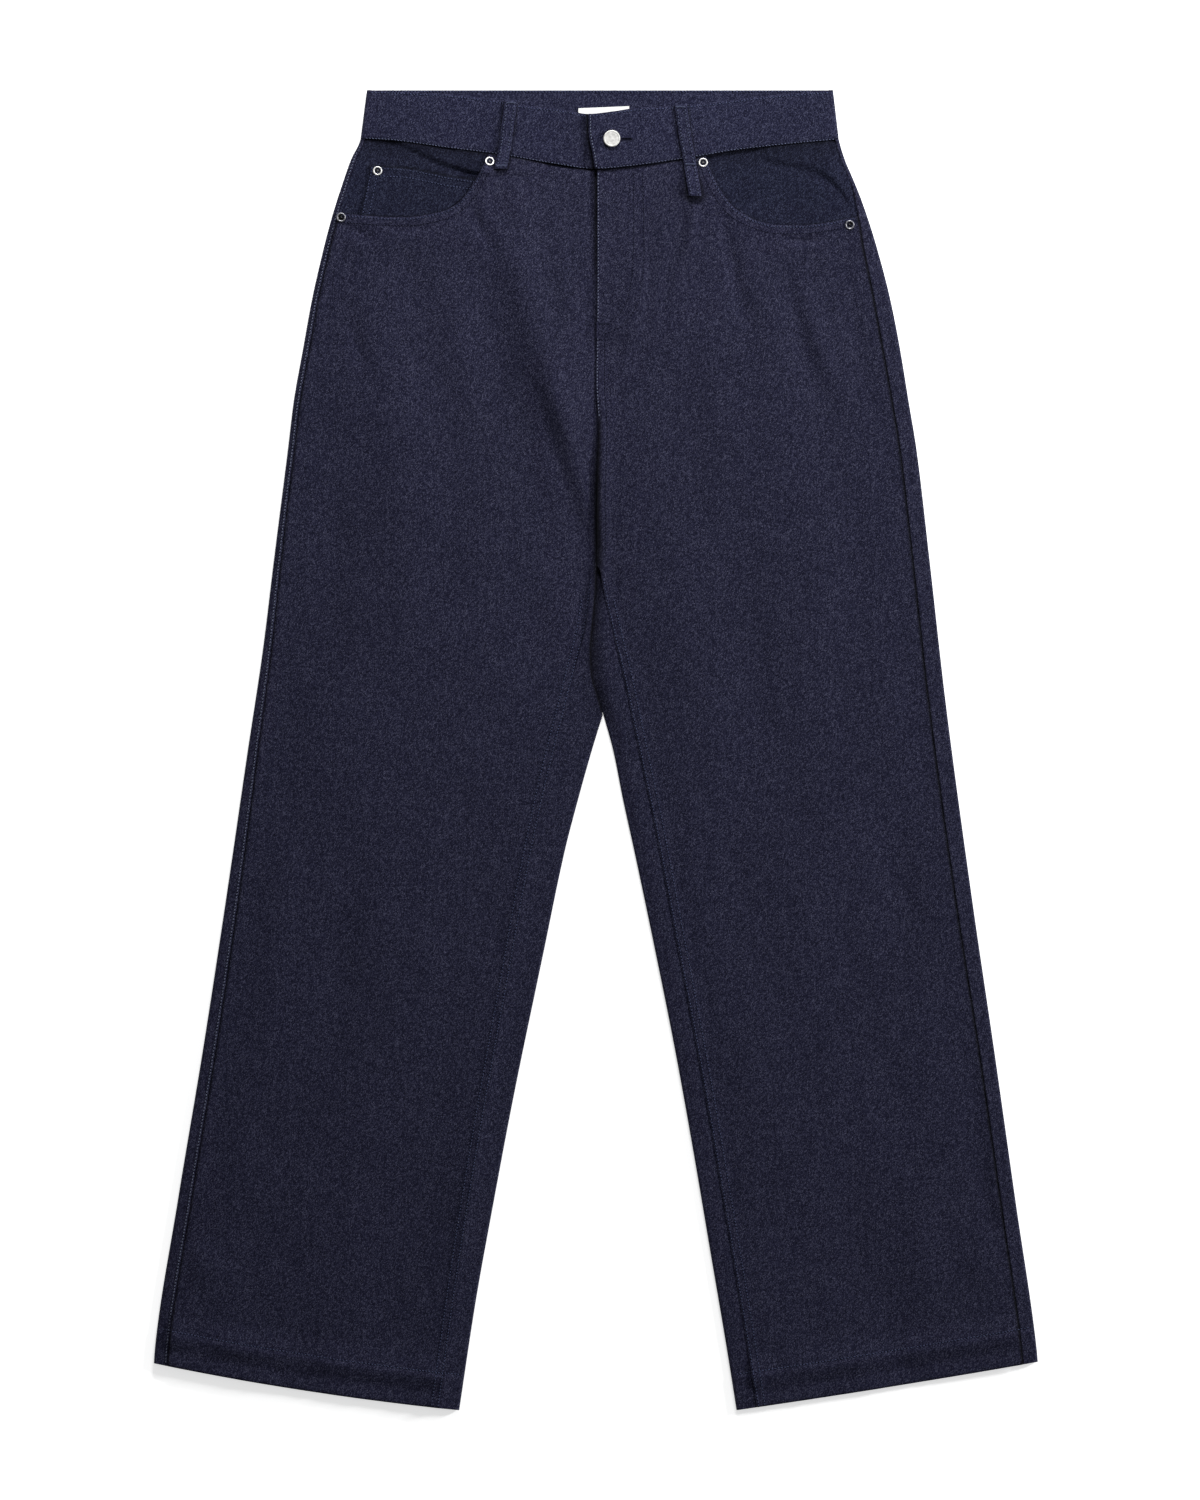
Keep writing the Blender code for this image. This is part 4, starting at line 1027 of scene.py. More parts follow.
def moved_mouth(leg, margin, shares):
    """Points along the pocket mouth, moved by a margin to the side where the front lies."""
    side_x = float(leg.side_seam_x(MOUTH_SIDE_DOWN))
    line = line_over_x(leg.mouth, side_x, leg.mouth_end()[0], 400)
    run = run_along(line)[-1]
    at = shares * run
    step = 0.02 * run
    tangent = points_at(line, at + step) - points_at(line, at - step)
    return points_at(line, at) - right_of(tangent) * leg.side * margin


def between(upper, lower, shares):
    """x and down of a grid of points between two lines of as many points each."""
    share = shares[:, None, None]
    spots = upper * (1 - share) + lower * share
    return spots[..., 0], spots[..., 1]


def facing_outline(leg):
    """The facing's edge along the side seam and the waistband."""
    side = [(float(leg.side_seam_x(down)) - leg.side * SEAM_GAP, down) for down in FACING_SIDE_DOWNS]
    corner_x = float(leg.side_seam_x(BAND_BACK_DEPTH + SEAM_GAP)) - leg.side * SEAM_GAP
    inner_x = leg.mouth_end()[0] - leg.side * (MOUTH_MARGIN - 1)
    waist = line_over_x(BAND_SEAM, corner_x, inner_x, 30) + (0, SEAM_GAP / 2)
    return resampled(np.concatenate([side, waist]), FACING_COLUMNS)


def make_facing(leg, material):
    lower = moved_mouth(leg, MOUTH_MARGIN, np.linspace(0, FACING_REACH, FACING_COLUMNS))
    x, down = between(facing_outline(leg), lower, np.linspace(0, 1, FACING_ROWS))
    z = facing_height(leg, x, down) + 0.08 * ground_waves(x, down, 14, 40, 5 + leg.side)
    from_band = down - curve(BAND_SEAM, x)
    shade = gloom(0.6, 1.1, distance_to(leg.mouth, x, down))
    shade = shade * gloom(0.5, 1.8, from_band) * gloom(0.28, 15, from_band)
    if leg.side < 0:
        over_coin = ease(-190, -184, -np.abs(x)) * 0.75
        shade = shade * (1 - swelling(over_coin, 1.5, curve(COIN_TOP, x) - down))
    name = "pocket_facing_%s_cloth" % leg.word
    return shell(name, placed(x, down, z), CLOTH * WALL, material, leg.side, shade=shade)


def make_coin_pocket(material):
    left_x = COIN_TOP[0][0]
    upper = line_over_x(COIN_TOP, left_x, COIN_TOP[-1][0] - 0.5, COIN_COLUMNS)
    lower = moved_mouth(RIGHT_LEG, COIN_MARGIN, np.linspace(*COIN_REACH, COIN_COLUMNS))
    x, down = between(upper, lower, np.linspace(0, 1, COIN_ROWS) ** 1.3)
    below_top = down - curve(COIN_TOP, x)
    from_left = x - (left_x - COIN_SLANT * below_top)
    z = coin_height(x, down) - fading(0.5, 0.6, below_top) - fading(0.5, 0.6, from_left)
    z = z + 0.14 * seam_puckers(x, below_top, 101)
    shade = gloom(0.6, 1.2, distance_to(RIGHT_LEG.mouth, x, down))
    shade = shade * gloom(0.5, 0.8, below_top) * gloom(0.5, 0.8, from_left)
    return shell("coin_pocket_cloth", placed(x, down, z), CLOTH * WALL, material, -1, shade=shade)


# ---------------------------------------------------------------- waistband and loops

BAND_ROWS = np.array((
    0.0, 0.006, 0.02, 0.045, 0.08, 0.13, 0.2, 0.3, 0.4, 0.5, 0.6, 0.7, 0.8, 0.87, 0.92, 0.955, 0.98,
    0.994, 1.0,
))
BAND_FRONT_COLUMNS = 90
BAND_BACK_COLUMNS = 20
BAND_SHELL = BAND_CLOTH - 0.15
BAND_RADIUS = BAND_LOFT / 2
RIM_DROP = 0.75
RIM_REACH = 0.03
RIM_DROPS = RIM_DROP * (np.exp(-BAND_ROWS / RIM_REACH) + np.exp(-(1 - BAND_ROWS) / RIM_REACH))


def band_height(leg, x, from_fold):
    """Outer surface of the front waistband, with soft waves and puckers at its sewn edges."""
    rise = BAND_LAP * (1 - ease(38, 78, x)) if leg.side > 0 else 0.0
    edge = np.minimum(BAND_ROWS, 1 - BAND_ROWS) * BAND_BACK_DEPTH
    ripple = 0.22 * waves(x, 8, 17, 111 + leg.side) * fading(1, 7, edge)
    slow = 0.3 * ground_waves(x, BAND_ROWS * BAND_BACK_DEPTH, 45, 120, 112 + leg.side)
    return BAND_LOFT + rise + (ripple + slow) * ease(0, 14, from_fold)


def band_end_x(leg):
    """x of the band's end on each row: hidden on the right, cut to its shape on the left."""
    if leg.side < 0:
        return np.full_like(BAND_ROWS, BAND_UNDER_END)
    end_top = BAND_END[0][0]
    return curve(BAND_END, end_top + (BAND_END[-1][0] - 1 - end_top) * BAND_ROWS)


def band_column(leg, x, edge_x, end_x):
    """Down, height and shade of one column of the front waistband."""
    under = ease(-3, 4, x) if leg.side < 0 else 0.0
    high = curve(BAND_TOP, x) + under
    low = curve(BAND_SEAM, x) - SEAM_GAP - under
    down = high + (low - high) * BAND_ROWS
    z = band_height(leg, x, np.abs(x - edge_x)) - RIM_DROPS - fading(0.8, 0.7, np.abs(end_x - x))
    shade = gloom(0.5, 0.9, BAND_BACK_DEPTH * (1 - BAND_ROWS)) * loop_gloom(x, down)
    if leg.side < 0:
        z = z - 1.7 * ease(-22, -8, x)
        from_lap = curve(BAND_END, down) - x
        under_end = gloom(0.85, 2.4, from_lap) * gloom(0.25, 13, from_lap)
        shade = shade * np.where(x < 0, under_end, 0.2)
    return x, down, z, shade


def half_band(leg):
    """Columns of half a band, from its end at the front to the centre of the back."""
    top_x, bottom_x = curve(leg.outer, (0, BAND_BACK_DEPTH))
    edge_x = top_x + (bottom_x - top_x) * BAND_ROWS - leg.side * BAND_RADIUS
    end_x = band_end_x(leg)
    lit = np.ones_like(BAND_ROWS)
    columns = []
    for share in eased_shares(BAND_FRONT_COLUMNS, 1.0, 1.2)[::-1][:-1]:
        columns.append(band_column(leg, edge_x + (end_x - edge_x) * share, edge_x, end_x))
    for step, angle in enumerate(arc_angles(math.pi / 2)):
        x = edge_x + leg.side * BAND_RADIUS * math.cos(angle)
        down = (BAND_BACK_DEPTH - SEAM_GAP * (1 - step / ARC_STEPS)) * BAND_ROWS
        reach = BAND_RADIUS - RIM_DROPS * ease(-0.2, 1, math.sin(angle))
        columns.append((x, down, BAND_RADIUS + reach * math.sin(angle), lit))
    for share in np.linspace(0.03, 0.97, BAND_BACK_COLUMNS):
        columns.append((edge_x * (1 - share), BAND_BACK_DEPTH * BAND_ROWS, 0 * BAND_ROWS, lit))
    return columns


def make_waistband(material):
    """One doubled band, from its right end at the front round the back to its left end."""
    columns = half_band(RIGHT_LEG) + half_band(LEFT_LEG)[::-1]
    x, down, z, shade = (np.array(part).T for part in zip(*columns))
    return shell("waistband_cloth", placed(x, down, z), BAND_SHELL, material, 1, shade=shade)


LOOP_CLOTH = 1.6
LOOP_SHELL = LOOP_CLOTH - 0.3
LOOP_SHARES = np.array((-0.5, -0.47, -0.42, -0.34, -0.22, -0.08, 0.08, 0.22, 0.34, 0.42, 0.47, 0.5))
LOOP_ROWS = 64
SMOOTHED_ROWS = 13
# Where the cloth under a belt loop is felt, around each point of its middle.
FELT_ACROSS = (-5, 0, 5)
FELT_ALONG = (-2.5, 0, 2.5)


def highest_under(ground, x, down):
    """Height of the highest cloth under a short stretch of a belt loop."""
    return max(ground.height(x + across, down + along)
               for across in FELT_ACROSS for along in FELT_ALONG)


def make_loop(leg, route, ground, material):
    """A belt loop: a doubled strip that follows what lies under it, with rounded edges."""
    down = np.linspace(route[0][1], route[-1][1], LOOP_ROWS)
    middle = middle_of(route, down)
    lift = curve([(at, raised) for _, at, raised in route], down)
    base = np.array([highest_under(ground, x, at) for x, at in zip(middle, down)])
    padded = np.pad(base, SMOOTHED_ROWS // 2, mode="edge")
    smooth = np.convolve(padded, np.ones(SMOOTHED_ROWS) / SMOOTHED_ROWS, mode="valid")
    x = middle[:, None] + LOOP_WIDTH * LOOP_SHARES
    from_edge = (0.5 - np.abs(LOOP_SHARES)) * LOOP_WIDTH
    crown = 0.25 * ease(0, 2.5, from_edge) - fading(0.55, 0.35, from_edge)
    ripple = 0.12 * waves(down, 5, 11, 121 + leg.side)
    ends = fading(0.6, 0.5, np.minimum(down - down[0], down[-1] - down))
    z = (np.maximum(smooth, base) + lift + ripple - ends)[:, None] + LOOP_CLOTH + crown
    points = placed(x, down[:, None], z)
    return shell("belt_loop_%s_cloth" % leg.word, points, LOOP_SHELL, material, -1)


# ---------------------------------------------------------------- sewing

class Ground:
    """What a ray from above or below meets first: the cloth that stitches lie on."""

    def __init__(self, objects):
        points = []
        faces = []
        for obj in objects:
            start = len(points)
            points += [vertex.co.copy() for vertex in obj.data.vertices]
            faces += [[start + corner for corner in face.vertices] for face in obj.data.polygons]
        self.tree = BVHTree.FromPolygons(points, faces)

    def hit(self, x, down, below=False):
        origin = Vector((x * MM, (LENGTH / 2 - down) * MM, -0.1 if below else 0.1))
        spot, normal, _, _ = self.tree.ray_cast(origin, Vector((0, 0, 1 if below else -1)))
        return spot, normal

    def height(self, x, down):
        spot, _ = self.hit(x, down)
        return spot.z / MM if spot else 0.0


STITCH = 1.95
STITCH_PITCH = 2.6
STITCH_WIDTH = 0.7
STITCH_HEIGHT = 0.45
PRESSED_HEIGHT = 0.2
STITCH_SLANT = 0.22
TACK_WIDTH = 0.5
TACK_PITCH = 0.55
# One stitch of unit size: its sides, place and size of its rings, rise of its middle, sink of
# its ends.
SIDES_OF_STITCH = 5
STITCH_RINGS = ((-0.72, 0.72), (0.0, 1.0), (0.72, 0.72))
STITCH_RISE = 0.15
STITCH_SINK = -0.25
# Needle holes: flat discs of painted shade, with their sides, radii and lift off the cloth.
HOLE_SIDES = 6
HOLE_RADII = (0.475, 0.399)
HOLE_LIFT = 0.09


def stitch_shape():
    """Points and faces of one stitch of unit half length, half width and height."""
    around = SIDES_OF_STITCH
    points = [(-1.0, 0.0, STITCH_SINK)]
    for along, size in STITCH_RINGS:
        for step in range(around):
            angle = 2 * math.pi * (step + 0.25) / around
            points.append((along, size * math.cos(angle), STITCH_RISE + size * math.sin(angle)))
    points.append((1.0, 0.0, STITCH_SINK))
    faces = []
    for step in range(around):
        after = (step + 1) % around
        faces.append((0, 1 + after, 1 + step))
        for ring in (0, 1):
            low = 1 + ring * around
            faces.append((low + step, low + after, low + around + after, low + around + step))
        last = 1 + 2 * around
        faces.append((last + step, last + after, len(points) - 1))
    return np.array(points), faces


STITCH_POINTS, STITCH_FACES = stitch_shape()
HOLE_ANGLES = np.arange(HOLE_SIDES) * 2 * math.pi / HOLE_SIDES
HOLE_POINTS = np.column_stack([HOLE_RADII[0] * np.cos(HOLE_ANGLES),
                               HOLE_RADII[1] * np.sin(HOLE_ANGLES),
                               np.full(HOLE_SIDES, HOLE_LIFT)])


class Thread:
    """Collects stitches and makes them one mesh."""

    def __init__(self, name, ground, material):
        self.name = name
        self.ground = ground
        self.material = material
        self.points = []
        self.faces = []
        self.hole_points = []

    def laid(self, shape, x, down, heading, below):
        """Points of a shape in millimetres, laid along a heading on the cloth at (x, down)."""
        spot, normal = self.ground.hit(x, down, below)
        if spot is None:
            return None
        forward = Vector((math.cos(heading), -math.sin(heading), 0))
        forward = (forward - normal * forward.dot(normal)).normalized()
        return np.array(spot) + shape * MM @ np.array([forward, normal.cross(forward), normal])

    def stitch(self, x, down, heading, length=STITCH, width=STITCH_WIDTH, below=False):
        height = PRESSED_HEIGHT if below else STITCH_HEIGHT
        shape = STITCH_POINTS * (length / 2, width / 2, height)
        points = self.laid(shape, x, down, heading, below)
        if points is not None:
            start = len(self.points) * len(STITCH_POINTS)
            self.points.append(points)
            self.faces += [tuple(start + corner for corner in face) for face in STITCH_FACES]

    def hole(self, x, down, heading, below):
        """A flat disc of painted shade for the dimple of a needle hole, where a stitch goes down into
        the cloth.
        """
        points = self.laid(HOLE_POINTS, x, down, heading, below)
        if points is not None:
            self.hole_points.append(points)

    def row(self, line, below=False):
        """Stitches along a line of (x, down), each with the painted shade of its needle hole at its
        end.
        """
        line = np.asarray(line, float)
        run = run_along(line)[-1]
        count = max(1, int(run / STITCH_PITCH))
        at = (np.arange(count) + 0.5) * run / count
        ahead = points_at(line, np.minimum(at + 0.5, run))
        behind = points_at(line, np.maximum(at - 0.5, 0))
        headings = np.arctan2(ahead[:, 1] - behind[:, 1], ahead[:, 0] - behind[:, 0])
        for (x, down), heading in zip(points_at(line, at), headings):
            self.stitch(x, down, heading + STITCH_SLANT, below=below)
            hole_x = x + STITCH_PITCH / 2 * math.cos(heading)
            hole_down = down + STITCH_PITCH / 2 * math.sin(heading)
            self.hole(hole_x, hole_down, heading, below)

    def bar(self, x, down, length, heading, width):
        """A bar tack: short stitches packed side by side across a line."""
        count = int(length / TACK_PITCH)
        for number in range(count):
            away = (number - (count - 1) / 2) * TACK_PITCH
            self.stitch(x + away * math.cos(heading), down + away * math.sin(heading),
                        heading + math.pi / 2, width, TACK_WIDTH)

    def finished(self, hole_shade_look):
        """The stitches' object and, where rows were sewn, that of their needle holes' painted shade.
        """
        points = np.concatenate(self.points)
        pieces = [new_object(self.name, points, self.faces, self.material, 70)]
        if self.hole_points:
            points = np.concatenate(self.hole_points)
            faces = np.arange(len(points)).reshape(-1, HOLE_SIDES).tolist()
            pieces.append(new_object(self.name + "_hole_shade", points, faces, hole_shade_look, 70))
        return pieces


# How far rows run from the seam or edge that they hold.
CLOSE_ROW = 1.1
NEAR_ROW = 1.6
TOP_ROW = 1.9
FAR_ROW = 6.8
LOOP_ROW = 3.1
# Curved rows of the fly, and its bar tacks as x, down, length and heading.
J_STITCH_NEAR = ((31.4, 67), (31.6, 100), (31.4, 130), (30.4, 152), (27, 170), (20.5, 183),
                 (12, 190.5), (5, 192.6))
J_STITCH_FAR = ((38.6, 66), (39.6, 100), (39.8, 130), (39.0, 154), (35.5, 173), (28.5, 187),
                (19, 195.5), (8, 199.5))
FLY_TACKS = ((7.4, 191.3, 8.6, 0.0), (3.2, 204, 5.0, 0.2))
COIN_LEFT = ((-184.5, 62.6), (-188.5, 82), (-192.2, 101))


def sew_band(thread):
    for start, end in ((-189, -6), (1.5, 196)):
        thread.row(offset_line(line_over_x(BAND_SEAM, start, end), -CLOSE_ROW))


def sew_band_end(thread):
    thread.row(offset_line(line_over_down(BAND_END, 20, 64), -NEAR_ROW))


def sew_band_top(thread):
    for start, end in ((-184, -7), (-3, 191)):
        thread.row(offset_line(line_over_x(BAND_TOP, start, end), TOP_ROW))
    thread.row([(-170, 1.4), (0, 1.5), (175, 1.4)])


def sew_side(thread):
    """The bright row along the outline of the wearer's right leg."""
    down = np.linspace(46, RIGHT_LEG.hem_outer, 500)
    thread.row(np.column_stack([RIGHT_LEG.side_seam_x(down) - NEAR_ROW, down]))


def sew_fly(thread):
    for start, end in ((68, FLY_END + 14), (203, 268)):
        thread.row(offset_line(line_over_down(SEAT_LINE, start, end), -CLOSE_ROW))


def sew_mouths(thread, margin=NEAR_ROW):
    for leg in LEGS:
        thread.row(moved_mouth(leg, margin, np.linspace(0.02, 0.985, 160)))


def sew_tonal(thread):
    """Rows that hardly show: the second ones of the mouths and the fly, and the fly's curve."""
    sew_mouths(thread, FAR_ROW)
    thread.row(offset_line(line_over_down(SEAT_LINE, 203, 380), -7.2))
    for x, down, length, heading in FLY_TACKS:
        thread.bar(x, down, length, heading, 2.0)
    for table in (J_STITCH_NEAR, J_STITCH_FAR):
        thread.row(resampled(table, 80))


def sew_coin(thread):
    for margin in (NEAR_ROW, FAR_ROW + 0.8):
        thread.row(offset_line(line_over_x(COIN_TOP, -182, -98), margin))
    for margin in (NEAR_ROW, FAR_ROW):
        thread.row(offset_line(resampled(COIN_LEFT, 20), -margin))


def sew_leg(thread, leg):
    """The felled inseam's two rows, and the hem's row on both sides of the leg."""
    inner = leg.tilted(np.linspace(WRAP_START - 2, leg.hem_outer, 420))
    seam = np.column_stack([curve(leg.inseam, inner), inner])
    thread.row(offset_line(seam, -leg.side * NEAR_ROW))
    thread.row(offset_line(seam[12:], -leg.side * FAR_ROW))
    row = leg.row(np.full(120, leg.hem_top - 1.8))
    hem = np.column_stack(leg.spot(row, np.linspace(4, row[4][0] - 4, 120)))
    for below in (False, True):
        thread.row(hem, below=below)


def sew_back(thread):
    """Sewing of the hidden underside: yoke seams, seat seam and waistband."""
    for leg in LEGS:
        for margin in (1.6, 7.0):
            start_x = float(curve(leg.outer, YOKE_SIDE)) - leg.side * 4
            ends = [(start_x, YOKE_SIDE - margin + 1), (leg.side * 2.0, YOKE_CENTRE - margin)]
            thread.row(ends, below=True)
    for margin in (1.8, 7.0):
        thread.row(line_over_down(SEAT_LINE, 44, 500) - (margin, 0), below=True)
    for down in (2.0, 38.2):
        thread.row([(-180, down), (0, down), (186, down)], below=True)


def sew_loops(thread):
    for route, low_tack in ((LOOP_RIGHT, 62.0), (LOOP_LEFT, 61.0)):
        top_x, top, _ = route[0]
        down = np.linspace(top + 1.5, route[-1][1] - 1.2, 40)
        for side in (-1, 1):
            thread.row(np.column_stack([middle_of(route, down) + side * LOOP_ROW, down]))
        thread.bar(top_x, top + 2.4, 8.0, 0.0, 1.6)
        thread.bar(float(middle_of(route, low_tack)), low_tack, 8.4, 0.0, 1.6)


# ---------------------------------------------------------------- round trim

# Spots of the rivets and the button as (x, down), and profiles from the cloth up as radius, height.
RIVETS = ((-86.7, 58.6), (-178.6, 66.2), (-208.4, 104.4), (88.2, 59.4), (208.4, 110.6))
RIVET_PROFILE = (
    (3.5, -0.5), (3.7, 0.0), (3.8, 0.4), (3.72, 0.8), (3.5, 1.05), (3.2, 1.12), (2.75, 1.02),
    (2.5, 0.7), (2.35, 0.2), (2.0, 0.0), (1.3, 0.0), (1.0, 0.2), (0.8, 0.5), (0.55, 0.7),
    (0.25, 0.76),
)
# Painted shade of each ring of the rivet profile, deepest in the hollow round the nipple.
RIVET_SHADES = (1, 1, 1, 1, 1, 1, 0.9, 0.3, 0.04, 0.02, 0.02, 0.03, 0.05, 0.08, 0.15)
RIVET_STEPS = 40
BUTTON_SPOT = (13.4, 40.0)
BUTTON_PROFILE = (
    (3.6, -0.6), (3.8, 0.5), (5.4, 0.9), (6.3, 1.2), (6.7, 1.6), (6.85, 2.1), (6.72, 2.5),
    (6.4, 2.7), (6.0, 2.75), (5.7, 2.7), (5.5, 2.62), (5.2, 2.58), (4.6, 2.6), (4.35, 2.64),
    (4.1, 2.6), (2.6, 2.62), (1.2, 2.64), (0.3, 2.65),
)
BUTTON_SHADES = (1,) * len(BUTTON_PROFILE)
BUTTON_STEPS = 64
SLIT_START = 21.0
SLIT_END = 30.0
SLIT_DOWN = 40.4
SLIT_HALF_WIDTH = 0.75
SLIT_COLUMNS = 24
SLIT_STITCH_PITCH = 0.62
SLIT_STITCH = 1.25
SLIT_STITCH_OFFSET = 1.15
SLIT_THICKNESS = 0.12


def make_round(name, profile, shades, spot, normal, steps, material):
    """A turned piece on a spot of the cloth. shades darken its rings with painted shade."""
    normal = Vector(normal)
    aside = normal.orthogonal().normalized()
    axes = np.array([aside, normal.cross(aside), normal])
    angle = np.linspace(0, 2 * math.pi, steps, endpoint=False)
    rings = [np.column_stack([radius * np.cos(angle), radius * np.sin(angle), np.full(steps, height)])
             for radius, height in profile]
    tips = np.array([[0, 0, profile[-1][1]], [0, 0, profile[0][1]]])
    points = np.concatenate(rings + [tips]) * MM @ axes + np.array(spot)
    top = len(profile) * steps
    last = top - steps
    faces = []
    for low in range(0, last, steps):
        for step in range(steps):
            after = (step + 1) % steps
            faces.append((low + step, low + after, low + steps + after, low + steps + step))
    for step in range(steps):
        after = (step + 1) % steps
        faces.append((last + step, last + after, top))
        faces.append((after, step, top + 1))
    obj = new_object(name, points, faces, material, 40)
    set_shades(obj, np.concatenate([np.repeat(shades, steps), (shades[-1], shades[0])]))
    return obj


def make_buttonhole(ground, thread, dark):
    """A keyhole slit beside the button, with its edge stitches; the slit is a thin sheet of painted
    shadow.
    """
    x = np.linspace(SLIT_START, SLIT_END, SLIT_COLUMNS)
    share = np.clip((x - SLIT_START) / (SLIT_END - SLIT_START), 0.04, 0.96)
    half = SLIT_HALF_WIDTH * np.sin(math.pi * share) ** 0.5
    rows = []
    for side, lift in ((-1, 0.1), (0, 0.16), (1, 0.1)):
        down = SLIT_DOWN + side * half
        z = [ground.height(*spot) + lift for spot in zip(x, down)]
        rows.append(placed(x, down, z))
    slit = shell("buttonhole_slit", np.array(rows), SLIT_THICKNESS, dark, -1)
    for at in np.arange(SLIT_START + 0.5, SLIT_END, SLIT_STITCH_PITCH):
        for down in (SLIT_DOWN - SLIT_STITCH_OFFSET, SLIT_DOWN + SLIT_STITCH_OFFSET):
            thread.stitch(float(at), down, math.pi / 2, SLIT_STITCH, TACK_WIDTH)
    thread.bar(SLIT_END + 0.4, SLIT_DOWN, 2.4, math.pi / 2, 1.1)
    return slit


# ---------------------------------------------------------------- materials

# Features to the metre along each axis: yarns, fine grain, slubs and clouds of the denim, thread's
# ply, metal's wear and tape's ribs.
YARN_SCALE = (2200, 1000, 1500)
GRAIN_SCALE = (2300, 1500, 2300)
SLUB_SCALE = (500, 30, 500)
CLOUD_SCALE = (14, 6, 14)
PLY_SCALE = (2600, 2600, 2600)
WEAR_SCALE = (500, 500, 500)
RIB_SCALE = (300, 4200, 300)
TWILL_SCALE = 0.314 / 0.00105
TWILL_TURN = math.radians(30)
# Warp yarn from its darkest to its palest flecks, and the twill's hollows and ridges.
YARN_COLOURS = (
    (0.15, (0.0026, 0.0026, 0.0090)), (0.5, (0.0096, 0.0096, 0.0258)),
    (0.68, (0.0255, 0.0256, 0.0500)), (0.85, (0.062, 0.062, 0.098)),
)
TWILL_TONES = ((0.0, (0.74, 0.74, 0.76)), (1.0, (1.20, 1.20, 1.18)))
CLOUD_TONES = (0.96, 1.04)
TAPE_COLOURS = ((0.3, (0.70, 0.70, 0.69)), (0.7, (0.86, 0.86, 0.85)))


def new_material(name):
    """A node material, its tree and its shader."""
    material = bpy.data.materials.new(name)
    material.use_nodes = True
    return material, material.node_tree, material.node_tree.nodes["Principled BSDF"]


def set_inputs(node, **values):
    """Set sockets, named with _ for a space."""
    for name, value in values.items():
        node.inputs[name.replace("_", " ")].default_value = value


def math_node(tree, operation, first, second):
    """A math node on an output and a second output or number."""
    node = tree.nodes.new("ShaderNodeMath")
    node.operation = operation
    tree.links.new(first, node.inputs[0])
    if isinstance(second, float):
        node.inputs[1].default_value = second
    else:
        tree.links.new(second, node.inputs[1])
    return node.outputs[0]


def weighted(tree, first, share, second, other_share):
    """The sum of two values, each times its share."""
    return math_node(tree, "ADD", math_node(tree, "MULTIPLY", first, share),
                     math_node(tree, "MULTIPLY", second, other_share))


def mapped(tree, scale, turn=0.0, turned_first=False):
    """Object coordinates scaled and turned about Z, or turned first and scaled along those axes."""
    where = tree.nodes.new("ShaderNodeTexCoord")
    mapping = tree.nodes.new("ShaderNodeMapping")
    if turned_first:
        mapping.vector_type = "TEXTURE"
        turn = -turn
        scale = tuple(1 / size for size in scale)
    set_inputs(mapping, Rotation=(0, 0, turn), Scale=scale)
    tree.links.new(where.outputs["Object"], mapping.inputs["Vector"])
    return mapping.outputs["Vector"]


def noise(tree, scale, detail, turn=0.0):
    """A noise of about scale features to the metre along each axis."""
    node = tree.nodes.new("ShaderNodeTexNoise")
    set_inputs(node, Scale=1.0, Detail=detail, Roughness=0.5)
    tree.links.new(mapped(tree, scale, turn), node.inputs["Vector"])
    return node.outputs["Fac"]


def yarn_cells(tree):
    """A random tone for each visible bit of yarn, drawn out along the twill."""
    cells = tree.nodes.new("ShaderNodeTexVoronoi")
    set_inputs(cells, Scale=1.0)
    where = mapped(tree, YARN_SCALE, TWILL_TURN, turned_first=True)
    tree.links.new(where, cells.inputs["Vector"])
    parts = tree.nodes.new("ShaderNodeSeparateColor")
    tree.links.new(cells.outputs["Color"], parts.inputs["Color"])
    return parts.outputs["Red"]


def twill_lines(tree):
    """The diagonal ridges of the weave."""
    wave = tree.nodes.new("ShaderNodeTexWave")
    wave.wave_type = "BANDS"
    wave.bands_direction = "X"
    set_inputs(wave, Scale=TWILL_SCALE, Distortion=1.4, Detail=1.0, Detail_Scale=2.0)
    tree.links.new(mapped(tree, (1, 1, 1), TWILL_TURN), wave.inputs["Vector"])
    return wave.outputs["Fac"]


def ramp(tree, value, stops):
    """A colour for each value, from stops of (place, colour)."""
    node = tree.nodes.new("ShaderNodeValToRGB")
    elements = node.color_ramp.elements
    for number, (place, colour) in enumerate(stops):
        element = elements[number] if number < 2 else elements.new(place)
        element.position = place
        element.color = (*colour, 1.0)
    tree.links.new(value, node.inputs["Fac"])
    return node.outputs["Color"]


def tones(colour, darker, lighter):
    """A colour times two shares, as two colours."""
    return (tuple(share * channel for channel in colour) for share in (darker, lighter))


def multiplied(tree, first, second):
    node = tree.nodes.new("ShaderNodeMix")
    node.data_type = "RGBA"
    node.blend_type = "MULTIPLY"
    node.inputs["Factor"].default_value = 1.0
    colours = [socket for socket in node.inputs if socket.type == "RGBA"]
    tree.links.new(first, colours[0])
    tree.links.new(second, colours[1])
    return next(socket for socket in node.outputs if socket.type == "RGBA")


def shaded(tree, colour):
    """A colour times the mesh's painted shade, from its shade attribute."""
    shade = tree.nodes.new("ShaderNodeAttribute")
    shade.attribute_name = "shade"
    return multiplied(tree, colour, shade.outputs["Color"])


def add_bump(tree, shader, height, strength, distance):
    bump = tree.nodes.new("ShaderNodeBump")
    set_inputs(bump, Strength=strength, Distance=distance)
    tree.links.new(height, bump.inputs["Height"])
    tree.links.new(bump.outputs["Normal"], shader.inputs["Normal"])


